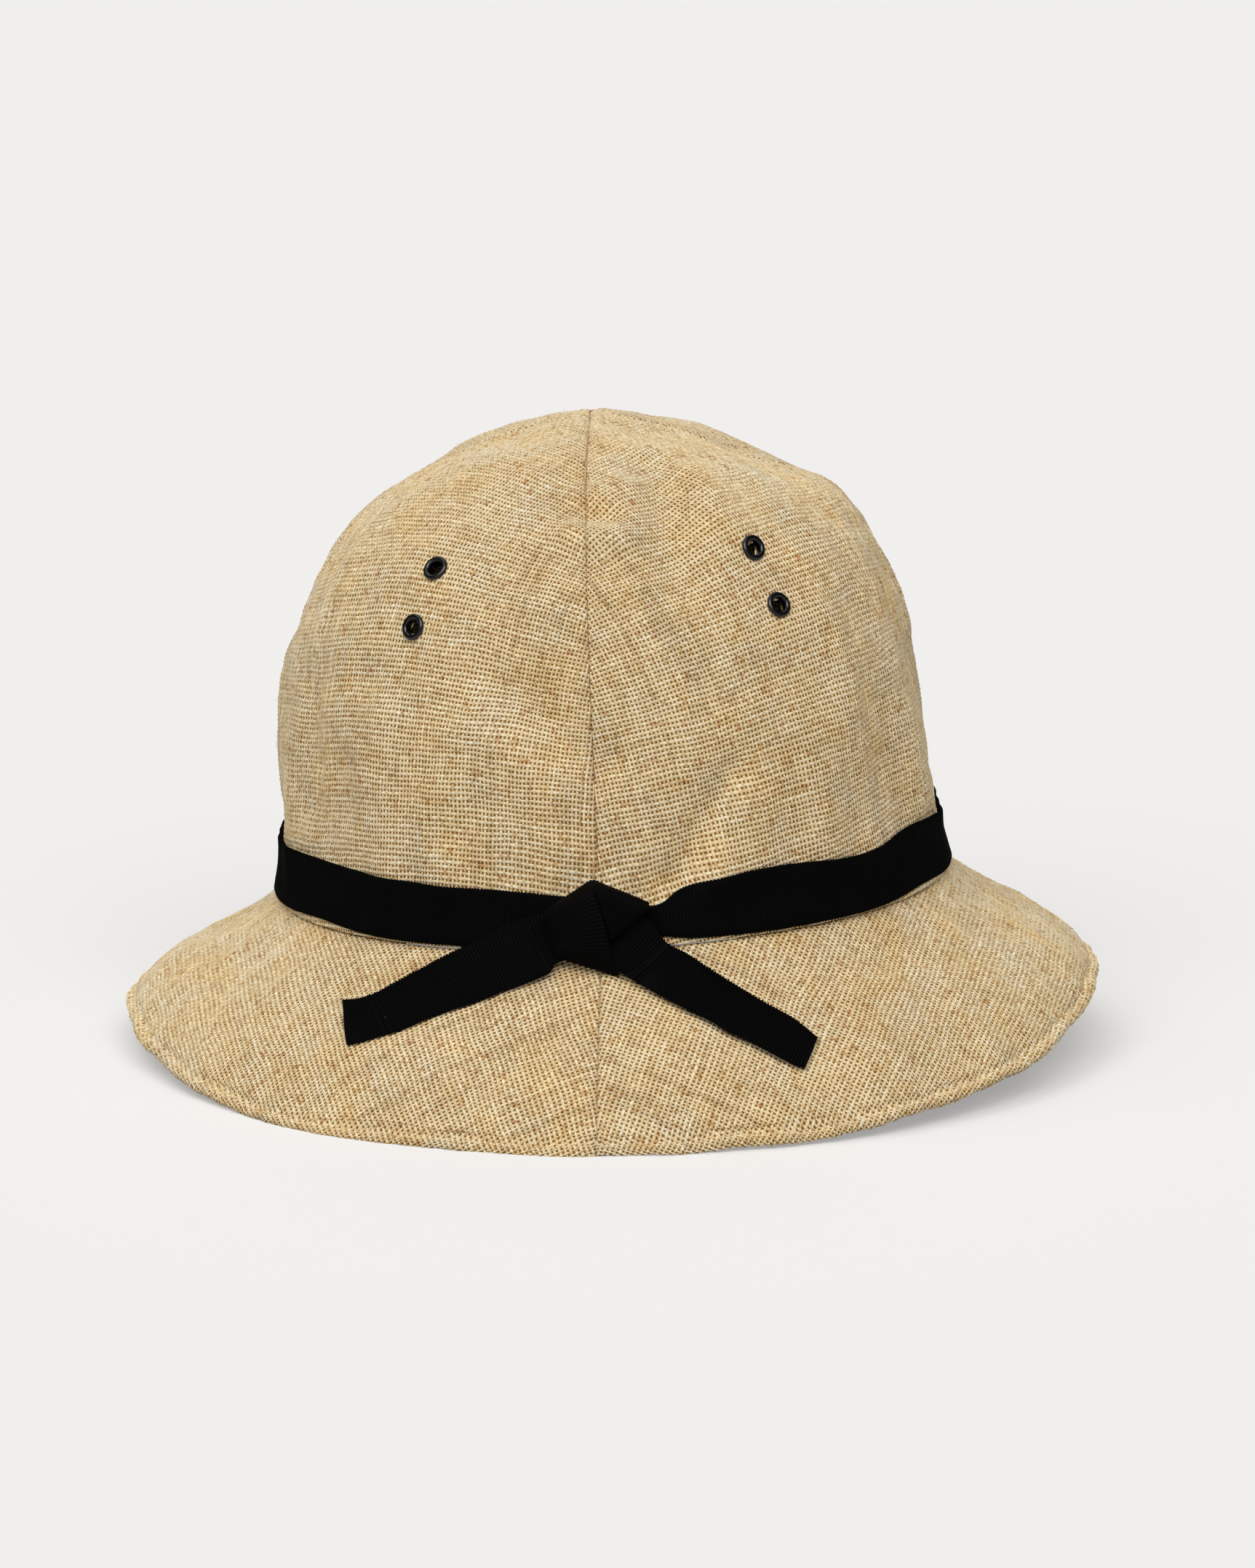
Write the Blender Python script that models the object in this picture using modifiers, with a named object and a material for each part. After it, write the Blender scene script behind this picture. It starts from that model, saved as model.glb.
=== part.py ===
"""Cloche hat of open-weave cloth, as it rests on its own brim.

Metres, +Z up. z = 0 is the surface under the brim, and the middle of the brim's box is over the
origin. The seam with the ribbon's knot faces -Y, the near side, and +X is to its right.
Azimuths are in degrees from +X, turning towards +Y, so the near seam is at -90.

Crown and brim are surfaces of two shares. A point of the crown has an azimuth and its share of
the way up a meridian, and a point of the brim has an azimuth and its share of the way out to
the rim. Everything that is sewn to them, tied round them or set into them is placed on those
surfaces, so it follows when a size changes.
"""

import bmesh
import bpy
import numpy as np
from mathutils import Matrix, Vector

# Crown
CROWN_HALF_WIDTH = 0.0915
CROWN_HALF_DEPTH = 0.0945
CROWN_HEIGHT = 0.1286
CROWN_CLOTH = 0.0012
CROWN_ROLL_DEG = 2.7
CROWN_PITCH_DEG = 0.5
TIP_RADIUS = 0.0008

# Brim, two layers of cloth with a rolled edge
JOINT_HEIGHT = 0.0460
BRIM_REACH = 0.0420
BRIM_CLOTH = 0.0024
RIM_ROLL = 0.0030
RIM_LIFT = 0.0210
RIM_SINK = 0.0006

# Ribbon
RIBBON_WIDTH = 0.0160
RIBBON_THICKNESS = 0.0007
TAIL_LENGTH_LEFT = 0.0740
TAIL_LENGTH_RIGHT = 0.0600
CORNER_EASE = 0.0080

# Eyelets
EYELET_RADIUS = 0.0035
EYELET_HOLE_RADIUS = 0.0019
EYELET_BARREL_WALL = 0.0006
EYELET_CROWN = 0.0008
EYELET_CLEARANCE = 0.0003
EYELET_SLACK = 0.0006

# The gap between pieces that touch
GAP = 0.0003

# How finely each piece is divided
PANEL_COLUMNS, PANEL_ROWS = 16, 18
BRIM_COLUMNS = 28
BAND_COLUMNS = 64
TAIL_COLUMNS = 18
EYELET_STEPS = 12

NEAR, RIGHT, FAR, LEFT = -90.0, 0.0, 90.0, 180.0


def table(columns, rows):
    """Rows of numbers whose columns are read by name."""
    return np.array(rows, dtype=[(column, float) for column in columns.split()])


# Meridian of the crown from joint to tip: reach is a share of its half width and half depth,
# rise a share of its height
MERIDIAN = table("reach rise", [
    (1.012, 0.000),
    (0.990, 0.080),
    (0.975, 0.180),
    (0.965, 0.300),
    (0.945, 0.430),
    (0.905, 0.550),
    (0.845, 0.660),
    (0.765, 0.755),
    (0.635, 0.850),
    (0.455, 0.927),
    (0.225, 0.976),
    (0.000, 1.000),
])

# Dents (depth below 0) and ridges of the crown, each along a line between two places given by
# azimuth and rise; width and depth are shares of the crown's half width
FOLDS = table("from_azimuth from_rise to_azimuth to_rise width depth", [
    (2, 0.940, -38, 0.965, 0.160, -0.026),
    (4, 0.865, -12, 0.900, 0.160, -0.022),
    (-5, 0.800, 10, 0.780, 0.150, 0.022),
    (-2, 0.420, -8, 0.460, 0.110, -0.022),
    (0, 0.200, -4, 0.400, 0.160, -0.016),
    (178, 0.935, 200, 0.955, 0.170, -0.026),
    (182, 0.340, 186, 0.440, 0.200, 0.022),
    (-68, 0.900, -71, 0.740, 0.090, -0.012),
    (-94, 0.800, -82, 0.800, 0.070, 0.010),
    (-108, 0.540, -88, 0.370, 0.080, -0.010),
    (-66, 0.330, -78, 0.120, 0.080, -0.013),
    (-52, 0.420, -48, 0.140, 0.080, 0.012),
    (-31, 0.380, -30, 0.200, 0.110, -0.014),
    (-154, 0.480, -150, 0.250, 0.110, -0.012),
    (-130, 0.430, -129, 0.180, 0.090, 0.010),
    (60, 0.900, 72, 0.740, 0.120, -0.012),
    (120, 0.500, 135, 0.250, 0.130, 0.014),
    (40, 0.500, 30, 0.220, 0.130, 0.012),
])

# Eyelets: angle from the near or far seam, and rise, of the upper and lower one of each gore
EYELETS = {
    "near_right": table("from_seam rise", [(37.2, 0.750), (38.4, 0.640)]),
    "far_right": table("from_seam rise", [(36.5, 0.745), (37.0, 0.635)]),
    "far_left": table("from_seam rise", [(36.0, 0.745), (36.5, 0.635)]),
    "near_left": table("from_seam rise", [(33.6, 0.740), (35.6, 0.630)]),
}

# Rim by azimuth: reach beyond the joint as a share of BRIM_REACH, and lift of its underside
# as a share of RIM_LIFT
RIM = table("azimuth reach lift", [
    (-90, 0.900, 0.00),
    (-75, 0.880, 0.05),
    (-60, 0.900, 0.12),
    (-45, 0.920, 0.28),
    (-30, 0.940, 0.50),
    (-15, 0.960, 0.78),
    (0, 0.980, 0.97),
    (25, 0.980, 0.76),
    (55, 0.950, 0.20),
    (90, 0.900, 0.00),
    (125, 0.940, 0.05),
    (155, 0.980, 0.28),
    (180, 1.000, 0.50),
    (195, 0.970, 0.38),
    (215, 0.930, 0.12),
    (230, 0.930, 0.00),
    (250, 0.910, 0.00),
])

# Brim from joint to rim: bulge is how far its middle stands above a straight line, as a share
# of BRIM_REACH
BRIM_BULGE = table("way bulge", [
    (0.00, 0.000),
    (0.15, -0.010),
    (0.45, 0.018),
    (0.80, 0.042),
    (1.00, 0.000),
])

# Section of the brim's edge: a station lies at a share of the way out to the middle of the
# rolled edge, plus some shares of the roll's radius; half is its half thickness in that radius
BRIM_SECTION = table("way beyond half", [
    (0.0, 0.0, 0.80),
    (0.2, 0.0, 0.80),
    (0.4, 0.0, 0.80),
    (0.6, 0.0, 0.80),
    (0.8, 0.0, 0.80),
    (1.0, -2.2, 0.72),
    (1.0, -0.8, 0.92),
    (1.0, 0.0, 1.00),
    (1.0, 0.6, 0.80),
    (1.0, 1.0, 0.25),
])

# Hatband by degrees round from the near seam: foot is its lower edge above the joint, width
# its height there, and stand how far its top edge stands off, all as shares of the ribbon
BAND = table("turn foot width stand", [
    (0, 0.030, 0.80, 0.00),
    (12, 0.030, 0.86, 0.02),
    (30, 0.030, 0.97, 0.02),
    (50, 0.040, 1.00, 0.09),
    (70, 0.030, 1.00, 0.05),
    (90, 0.030, 1.00, 0.02),
    (180, 0.030, 1.00, 0.02),
    (270, 0.030, 1.00, 0.03),
    (305, 0.060, 0.97, 0.09),
    (330, 0.030, 0.92, 0.02),
    (348, 0.030, 0.84, 0.02),
    (360, 0.030, 0.80, 0.00),
])

# Middle lines of the ribbon's free ends, in shares of each end's length: across from the near
# seam and up from the joint; width is a share of the ribbon's, and lift how far the lower edge
# stands off, in ribbon widths
TAIL_LEFT = table("along across up width lift", [
    (0.00, -0.054, 0.070, 0.85, 0.00),
    (0.22, -0.268, 0.002, 0.98, 0.00),
    (0.44, -0.451, -0.110, 1.00, 0.03),
    (0.80, -0.770, -0.310, 1.00, 0.10),
    (1.00, -0.965, -0.375, 1.00, 0.10),
])
TAIL_RIGHT = table("along across up width lift", [
    (0.00, 0.085, -0.010, 0.62, 0.00),
    (0.19, 0.235, -0.125, 0.80, 0.02),
    (0.45, 0.450, -0.275, 0.95, 0.16),
    (0.70, 0.680, -0.440, 0.97, 0.24),
    (1.00, 0.925, -0.660, 0.95, 0.22),
])

# Knot, row by row from the bottom up, in ribbon widths: left and right edge and the ridge
# between its two faces, from the near seam, and the depth at each
KNOT = table("up left ridge right depth_left depth_ridge depth_right", [
    (-0.34, -0.06, 0.18, 0.32, 0.12, 0.22, 0.12),
    (-0.06, -0.76, 0.22, 0.56, 0.20, 0.42, 0.22),
    (0.25, -0.88, 0.22, 0.76, 0.26, 0.50, 0.26),
    (0.56, -0.90, 0.08, 0.82, 0.24, 0.46, 0.26),
    (0.86, -0.42, -0.02, 0.46, 0.18, 0.34, 0.18),
    (1.08, -0.10, -0.02, 0.10, 0.10, 0.16, 0.10),
])

# Colours in linear light, roughness and metallic value: cloth, ribbon, eyelets
FINISHES = table("red green blue roughness metallic", [
    (0.560, 0.420, 0.230, 0.85, 0.0),
    (0.008, 0.008, 0.009, 0.70, 0.0),
    (0.012, 0.012, 0.013, 0.25, 0.6),
])


def spline(x, y, at):
    """Natural cubic spline: the least bent curve through the points (x, y), read at places."""
    count = len(x)
    step = np.diff(x)
    slope = np.diff(y) / step
    matrix = np.eye(count)
    right = np.zeros(count)
    for i in range(1, count - 1):
        matrix[i, i - 1:i + 2] = step[i - 1], 2 * (step[i - 1] + step[i]), step[i]
        right[i] = 6 * (slope[i] - slope[i - 1])
    bend = np.linalg.solve(matrix, right)
    i = np.clip(np.searchsorted(x, at, side="right") - 1, 0, count - 2)
    left, rest, width = at - x[i], x[i + 1] - at, step[i]
    curve = (bend[i] * rest**3 + bend[i + 1] * left**3) / (6 * width)
    curve += (y[i] / width - bend[i] * width / 6) * rest
    return curve + (y[i + 1] / width - bend[i + 1] * width / 6) * left


def round_spline(rows, column, azimuth):
    """A column of a table by azimuth, read at any azimuth on a spline that closes on itself."""
    x = np.concatenate([rows["azimuth"] + turn for turn in (-360, 0, 360)])
    return spline(x, np.tile(rows[column], 3), (azimuth - NEAR) % 360 + NEAR)


def meridian(along):
    """Reach and rise at a share of the way along the meridian."""
    steps = np.hypot(np.diff(MERIDIAN["reach"]), np.diff(MERIDIAN["rise"]))
    knots = np.concatenate([[0], np.cumsum(steps)]) / steps.sum()
    return spline(knots, MERIDIAN["reach"], along), spline(knots, MERIDIAN["rise"], along)


def along_at(rise):
    """The share of the way along the meridian at which it has risen so far."""
    along = np.linspace(0, 1, 401)
    return np.interp(rise, meridian(along)[1], along)


def smooth_crown(azimuth, along, out=0.0):
    """Crown before its folds and tilt, and its outward normal."""
    angle = np.radians(azimuth)
    reach, rise = meridian(along)
    tiny = 1e-4
    high, low = meridian(along + tiny), meridian(along - tiny)
    sideways = (high[0] - low[0]) * (CROWN_HALF_WIDTH + CROWN_HALF_DEPTH) / 2
    upwards = (high[1] - low[1]) * CROWN_HEIGHT
    length = np.hypot(sideways, upwards)
    normal = np.stack([upwards * np.cos(angle), upwards * np.sin(angle), -sideways * np.ones_like(angle)], -1)
    normal /= length[..., None]
    point = np.stack([CROWN_HALF_WIDTH * reach * np.cos(angle), CROWN_HALF_DEPTH * reach * np.sin(angle),
                      CROWN_HEIGHT * rise * np.ones_like(angle)], -1)
    return point + normal * np.asarray(out)[..., None], normal


def fold_height(point):
    """How far the folds push the cloth out: a rounded ridge or dent along each fold's line."""
    height = np.zeros(point.shape[:-1])
    for fold in FOLDS:
        ends = smooth_crown(np.array([fold["from_azimuth"], fold["to_azimuth"]]),
                            along_at(np.array([fold["from_rise"], fold["to_rise"]])))[0]
        line = ends[1] - ends[0]
        share = np.clip((point - ends[0]) @ line / (line @ line), 0, 1)
        away = np.linalg.norm(point - ends[0] - share[..., None] * line, axis=-1)
        height += fold["depth"] * CROWN_HALF_WIDTH * np.exp(-(away / (fold["width"] * CROWN_HALF_WIDTH))**2)
    return height


def raw_crown(azimuth, along, out=0.0):
    """Crown with its folds, tilted about the middle of the joint."""
    azimuth, along, out = np.broadcast_arrays(azimuth, along, out)
    point, normal = smooth_crown(azimuth, along)
    point = point + normal * (fold_height(point) + out)[..., None]
    pitch = Matrix.Rotation(np.radians(CROWN_PITCH_DEG), 3, "X")
    tilt = pitch @ Matrix.Rotation(np.radians(-CROWN_ROLL_DEG), 3, "Y")
    return point @ np.array(tilt).T + np.array([0, 0, JOINT_HEIGHT])


def raw_brim(azimuth, way, beyond=0.0, half=0.0):
    """Middle of the brim's wall, with half times the roll's radius added across it."""
    azimuth, way, beyond, half = np.broadcast_arrays(azimuth, way, beyond, half)
    angle = np.radians(azimuth)
    outward = np.stack([np.cos(angle), np.sin(angle), np.zeros(angle.shape)], -1)
    foot = raw_crown(azimuth, np.zeros(azimuth.shape)) - outward * CROWN_CLOTH - np.array([0, 0, GAP])
    reach = BRIM_REACH * round_spline(RIM, "reach", azimuth) + CROWN_CLOTH - RIM_ROLL / 2
    lift = RIM_LIFT * round_spline(RIM, "lift", azimuth) - RIM_SINK + RIM_ROLL / 2
    edge = foot + outward * reach[..., None]
    edge[..., 2] = lift
    chord = edge - foot
    length = np.linalg.norm(chord, axis=-1, keepdims=True)
    normal = outward * -chord[..., 2:] / length
    normal[..., 2] = reach / length[..., 0]
    foot = foot - normal * BRIM_CLOTH / 2
    bulge = BRIM_REACH * spline(BRIM_BULGE["way"], BRIM_BULGE["bulge"], way)
    point = foot + (edge - foot) * way[..., None] + chord / length * beyond[..., None] * RIM_ROLL / 2
    return point + normal * (bulge + half * RIM_ROLL / 2)[..., None]


def brim_azimuths(share, start):
    """Azimuths of the half of the brim that starts at a seam, a half gap clear of both seams."""
    margin = np.degrees(GAP / 2 / CROWN_HALF_WIDTH)
    return start + margin + share * (180 - 2 * margin)


def middle_of_rim():
    """Middle of the box round the rim, which stands over the origin."""
    shares = np.linspace(0, 1, BRIM_COLUMNS + 1)
    azimuths = np.concatenate([brim_azimuths(shares, NEAR), brim_azimuths(shares, FAR)])
    rim = raw_brim(azimuths[:, None], BRIM_SECTION["way"], BRIM_SECTION["beyond"],
                   BRIM_SECTION["half"] * np.array([[[1]], [[-1]]]))
    box = rim.reshape(-1, 3)
    middle = (box.min(axis=0) + box.max(axis=0)) / 2
    return np.array([middle[0], middle[1], 0])


MIDDLE = middle_of_rim()


def crown(azimuth, along, out=0.0):
    """Crown in its place over the origin, out metres off its outer face."""
    return raw_crown(azimuth, along, out) - MIDDLE


def brim(azimuth, way, beyond=0.0, half=0.0):
    """Brim in its place over the origin, flattened where it rests."""
    point = raw_brim(azimuth, way, beyond, half) - MIDDLE
    point[..., 2] = np.maximum(point[..., 2], 0)
    return point


def brim_length(azimuth):
    """Length of the brim from joint to rim."""
    ends = brim(azimuth, 0.0), brim(azimuth, 1.0)
    return np.linalg.norm(ends[1] - ends[0], axis=-1)


def brim_face(azimuth, down):
    """Point on the brim's upper face at a distance down from the joint."""
    return brim(azimuth, down / brim_length(azimuth), 0.0, BRIM_CLOTH / RIM_ROLL)


def wall_face(azimuth, up):
    """Point on the crown's outer face at a height up from the joint."""
    return crown(azimuth, along_at(up / CROWN_HEIGHT))


def laid(across, up):
    """The near side as a ribbon lies on it: on the wall, on the brim, and eased round the corner.

    across is the distance from the near seam, up the distance up from the joint, below 0 down
    the brim. Within CORNER_EASE of the joint the ribbon bridges the corner on a parabola.
    """
    radius = CROWN_HALF_DEPTH + np.maximum(-up, 0) * BRIM_REACH / (BRIM_REACH + JOINT_HEIGHT / 2)
    azimuth = NEAR + np.degrees(across / radius)
    share = np.clip((up + CORNER_EASE) / (2 * CORNER_EASE), 0, 1)[..., None]
    top = wall_face(azimuth, np.maximum(up, CORNER_EASE))
    corner = wall_face(azimuth, np.zeros(azimuth.shape))
    bottom = brim_face(azimuth, np.maximum(-up, CORNER_EASE))
    return bottom * (1 - share)**2 + corner * 2 * share * (1 - share) + top * share**2


def laid_off(across, up, out):
    """The laid surface, out metres off it along its normal."""
    tiny = 1e-4
    point = laid(across, up)
    normal = np.cross(laid(across + tiny, up) - point, laid(across, up + tiny) - point)
    normal /= np.linalg.norm(normal, axis=-1, keepdims=True)
    return point + normal * np.asarray(out)[..., None]


def layer(up, off_brim, off_wall):
    """Offset that changes from the brim's to the wall's as a ribbon climbs over the corner."""
    share = np.clip((up + 1.5 * CORNER_EASE) / (1.5 * CORNER_EASE), 0, 1)
    return off_brim + (off_wall - off_brim) * share * share * (3 - 2 * share)


def new_collection(name):
    """A collection in the scene."""
    collection = bpy.data.collections.new(name)
    bpy.context.scene.collection.children.link(collection)
    return collection


def finish(name, row):
    """A Principled material from a row of FINISHES."""
    material = bpy.data.materials.new(name)
    material.use_nodes = True
    shader = material.node_tree.nodes["Principled BSDF"]
    shader.inputs["Base Color"].default_value = (row["red"], row["green"], row["blue"], 1.0)
    shader.inputs["Roughness"].default_value = row["roughness"]
    shader.inputs["Metallic"].default_value = row["metallic"]
    return material


def add_object(name, bm, material, collection):
    """An object from a bmesh, shaded smooth except at its edges."""
    mesh = bpy.data.meshes.new(name)
    bm.to_mesh(mesh)
    bm.free()
    mesh.materials.append(material)
    mesh.shade_smooth()
    mesh.set_sharp_from_angle(angle=np.radians(40))
    obj = bpy.data.objects.new(name, mesh)
    collection.objects.link(obj)
    return obj


def sheet(name, columns, rows, place, material, collection):
    """A wall made from a flat slab, a grid one unit square and one unit thick.

    place(u, v, w) takes each of its points to the hat: u along its columns, v along its rows,
    both from 0 to 1, and w 0 on the inner face and 1 on the outer one.
    """
    bm = bmesh.new()
    bmesh.ops.create_grid(bm, x_segments=columns, y_segments=rows, size=0.5)
    raised = bmesh.ops.extrude_face_region(bm, geom=bm.faces[:], use_keep_orig=True)["geom"]
    top = [item for item in raised if isinstance(item, bmesh.types.BMVert)]
    bmesh.ops.translate(bm, vec=(0, 0, 1), verts=top)
    bmesh.ops.recalc_face_normals(bm, faces=bm.faces)
    flat = np.array([vertex.co for vertex in bm.verts])
    placed = place(flat[:, 0] + 0.5, flat[:, 1] + 0.5, np.round(flat[:, 2]))
    for vertex, point in zip(bm.verts, placed):
        vertex.co = point
    if bm.calc_volume(signed=True) < 0:
        bmesh.ops.reverse_faces(bm, faces=bm.faces)
    return add_object(name, bm, material, collection)


def tip_share():
    """The share of the meridian at which the gores stop, a small radius from the axis."""
    along = np.linspace(0.9, 1, 401)
    return np.interp(-TIP_RADIUS / CROWN_HALF_WIDTH, -meridian(along)[0], along)


def crown_panel(name, start, material, collection):
    """A gore between the seam at azimuth start and the next, a half gap clear of both."""
    top = tip_share()

    def place(u, v, w):
        along = v * top
        margin = np.degrees(GAP / 2 / (meridian(along)[0] * CROWN_HALF_WIDTH))
        azimuth = start + margin + u * (90 - 2 * margin)
        return crown(azimuth, along, (w - 1) * CROWN_CLOTH)

    return sheet(name, PANEL_COLUMNS, PANEL_ROWS, place, material, collection)


def brim_half(name, start, material, collection):
    """Half of the brim from the seam at azimuth start, thicker at its rolled edge."""
    rows = len(BRIM_SECTION) - 1

    def place(u, v, w):
        station = np.rint(v * rows).astype(int)
        section = BRIM_SECTION[station]
        return brim(brim_azimuths(u, start), section["way"], section["beyond"], section["half"] * (2 * w - 1))

    return sheet(name, BRIM_COLUMNS, rows, place, material, collection)


def hatband(name, material, collection):
    """Ribbon round the foot of the crown, its ends meeting behind the knot."""

    def place(u, v, w):
        margin = np.degrees(GAP / 2 / CROWN_HALF_DEPTH)
        turn = margin + u * (360 - 2 * margin)
        foot, width, stand = (np.interp(turn, BAND["turn"], BAND[key]) * RIBBON_WIDTH
                              for key in ("foot", "width", "stand"))
        up = foot + v * width
        return crown(NEAR + turn, along_at(up / CROWN_HEIGHT), GAP + stand * v**2 + w * RIBBON_THICKNESS)

    return sheet(name, BAND_COLUMNS, 2, place, material, collection)


def ribbon_tail(name, rows, length, side, material, collection):
    """Free end of the ribbon: it leaves the knot over the band and lies down on the brim."""

    def place(u, v, w):
        across, up, lift = (spline(rows["along"], rows[key], u) for key in ("across", "up", "lift"))
        tiny = 1e-3
        before, after = ([spline(rows["along"], rows[key], u + step) for key in ("across", "up")]
                         for step in (-tiny, tiny))
        slope_across, slope_up = after[0] - before[0], after[1] - before[1]
        run = np.hypot(slope_across, slope_up)
        over = (v - 0.5) * RIBBON_WIDTH * np.interp(u, rows["along"], rows["width"])
        x = across * length - slope_up / run * over * side
        y = up * length + slope_across / run * over * side
        off = layer(y, GAP, 2 * GAP + RIBBON_THICKNESS) + lift * RIBBON_WIDTH * (1 - v)
        return laid_off(x, y, off + w * RIBBON_THICKNESS)

    return sheet(name, TAIL_COLUMNS, 3, place, material, collection)


def ribbon_knot(name, material, collection):
    """Tied knot: two faces that meet on a ridge, on top of the roots of the free ends."""
    rows = len(KNOT) - 1

    def place(u, v, w):
        row = KNOT[np.rint(v * rows).astype(int)]
        shares = np.array([0, 0.5, 1])
        across, depth = (np.array([np.interp(a, shares, [r[key] for key in keys]) for a, r in zip(u, row)])
                         for keys in (("left", "ridge", "right"), ("depth_left", "depth_ridge", "depth_right")))
        back = 3 * GAP + 2 * RIBBON_THICKNESS
        return laid_off(across * RIBBON_WIDTH, row["up"] * RIBBON_WIDTH, back + w * depth * RIBBON_WIDTH)

    knot = sheet(name, 4, rows, place, material, collection)
    bevel = knot.modifiers.new("Soft folds", "BEVEL")
    bevel.width = RIBBON_THICKNESS / 2
    bevel.segments = 1
    bevel.limit_method = "ANGLE"
    bevel.angle_limit = np.radians(35)
    return knot


def eyelet_seat(panel, azimuth, rise):
    """Matrix of a seat on a gore: +Z out of the cloth, origin on its outer face."""
    along = along_at(rise)
    tiny = 1e-3
    sideways = crown(azimuth + 1, along) - crown(azimuth - 1, along)
    upwards = crown(azimuth, along + tiny) - crown(azimuth, along - tiny)
    normal = Vector(np.cross(sideways, upwards)).normalized()
    above = Vector(crown(azimuth, along)) + normal * EYELET_RADIUS
    point = panel.ray_cast(above, -normal)[1]
    return Matrix.Translation(point) @ normal.to_track_quat("Z", "Y").to_matrix().to_4x4()


def eyelet(name, seat, material, collection):
    """Turned eyelet: a rounded rim outside, a barrel through the cloth, a flange inside."""
    hole, barrel = EYELET_HOLE_RADIUS, EYELET_HOLE_RADIUS + EYELET_BARREL_WALL
    inside = -CROWN_CLOTH - EYELET_SLACK
    middle = (hole + EYELET_RADIUS) / 2
    profile = [
        (hole, GAP + EYELET_CROWN * 0.4),
        (middle - (EYELET_RADIUS - hole) * 0.15, GAP + EYELET_CROWN),
        (EYELET_RADIUS * 0.93, GAP + EYELET_CROWN * 0.7),
        (EYELET_RADIUS, GAP),
        (barrel, GAP),
        (barrel, inside),
        (EYELET_RADIUS * 0.92, inside),
        (EYELET_RADIUS * 0.85, inside - EYELET_CROWN * 0.6),
        (hole, inside - EYELET_CROWN * 0.6),
    ]
    mesh = bpy.data.meshes.new(name)
    count = len(profile)
    mesh.from_pydata([(x, 0, z) for x, z in profile], [(i, (i + 1) % count) for i in range(count)], [])
    mesh.materials.append(material)
    ring = bpy.data.objects.new(name, mesh)
    collection.objects.link(ring)
    ring.matrix_world = seat
    turn = ring.modifiers.new("Turned", "SCREW")
    turn.axis = "Z"
    turn.steps = turn.render_steps = EYELET_STEPS
    turn.use_merge_vertices = True
    turn.merge_threshold = 0.00001
    turn.use_smooth_shade = True
    return ring


def pierce(panel, name, seat, collection):
    """A round hole through a gore for an eyelet's barrel."""
    bm = bmesh.new()
    radius = EYELET_HOLE_RADIUS + EYELET_BARREL_WALL + EYELET_CLEARANCE
    bmesh.ops.create_cone(bm, segments=EYELET_STEPS, radius1=radius, radius2=radius,
                          depth=10 * CROWN_CLOTH, cap_ends=True)
    mesh = bpy.data.meshes.new(name)
    bm.to_mesh(mesh)
    bm.free()
    cutter = bpy.data.objects.new(name, mesh)
    collection.objects.link(cutter)
    cutter.matrix_world = seat
    cutter.hide_render = True
    cutter.display_type = "WIRE"
    cut = panel.modifiers.new("Hole", "BOOLEAN")
    cut.operation = "DIFFERENCE"
    cut.object = cutter


def build_hat():
    """All the pieces of the hat."""
    for obj in list(bpy.data.objects):
        bpy.data.objects.remove(obj)
    hat = new_collection("Cloche hat")
    cutters = new_collection("Cutters")
    names = "Natural woven cloth", "Black grosgrain", "Black enamelled metal"
    cloth, grosgrain, enamel = map(finish, names, FINISHES)

    # The four gores, each with a pair of eyelets beside the near or far seam
    for side, start, seam, turn in (("near_right", NEAR, NEAR, 1), ("far_right", RIGHT, FAR, -1),
                                    ("far_left", FAR, FAR, 1), ("near_left", LEFT - 360, NEAR, -1)):
        panel = crown_panel(f"crown_panel_{side}", start, cloth, hat)
        for level, place in zip(("upper", "lower"), EYELETS[side]):
            seat = eyelet_seat(panel, seam + turn * place["from_seam"], place["rise"])
            pierce(panel, f"hole_{side}_{level}", seat, cutters)
            eyelet(f"eyelet_{side}_{level}", seat, enamel, hat)

    # The brim, sewn from two halves
    brim_half("brim_right", NEAR, cloth, hat)
    brim_half("brim_left", FAR, cloth, hat)

    # The ribbon
    hatband("hatband", grosgrain, hat)
    ribbon_tail("ribbon_tail_left", TAIL_LEFT, TAIL_LENGTH_LEFT, -1, grosgrain, hat)
    ribbon_tail("ribbon_tail_right", TAIL_RIGHT, TAIL_LENGTH_RIGHT, 1, grosgrain, hat)
    ribbon_knot("ribbon_knot", grosgrain, hat)


build_hat()
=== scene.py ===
"""Cloche hat of open-weave cloth with a grosgrain ribbon: its looks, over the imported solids.

Shapes are worked out in millimetres and become metres where a mesh is made. Azimuths are in
degrees from +X, turning towards +Y. The near seam, with the ribbon's knot, is at -90.
The crown, the brim and the ribbon's bed are each a function of two parameters, and every piece
is a grid of points read from them. Each gore and each half of the brim was cut flat, so its
threads run straight on the flat cut. Its outer face is a lattice laid out there, whose points
rise and sink with the threads, and the UV map "threads" gives each point's place on the flat
cut in millimetres.
"""

import bmesh
import bpy
import numpy as np
from mathutils import Matrix, Vector


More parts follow.
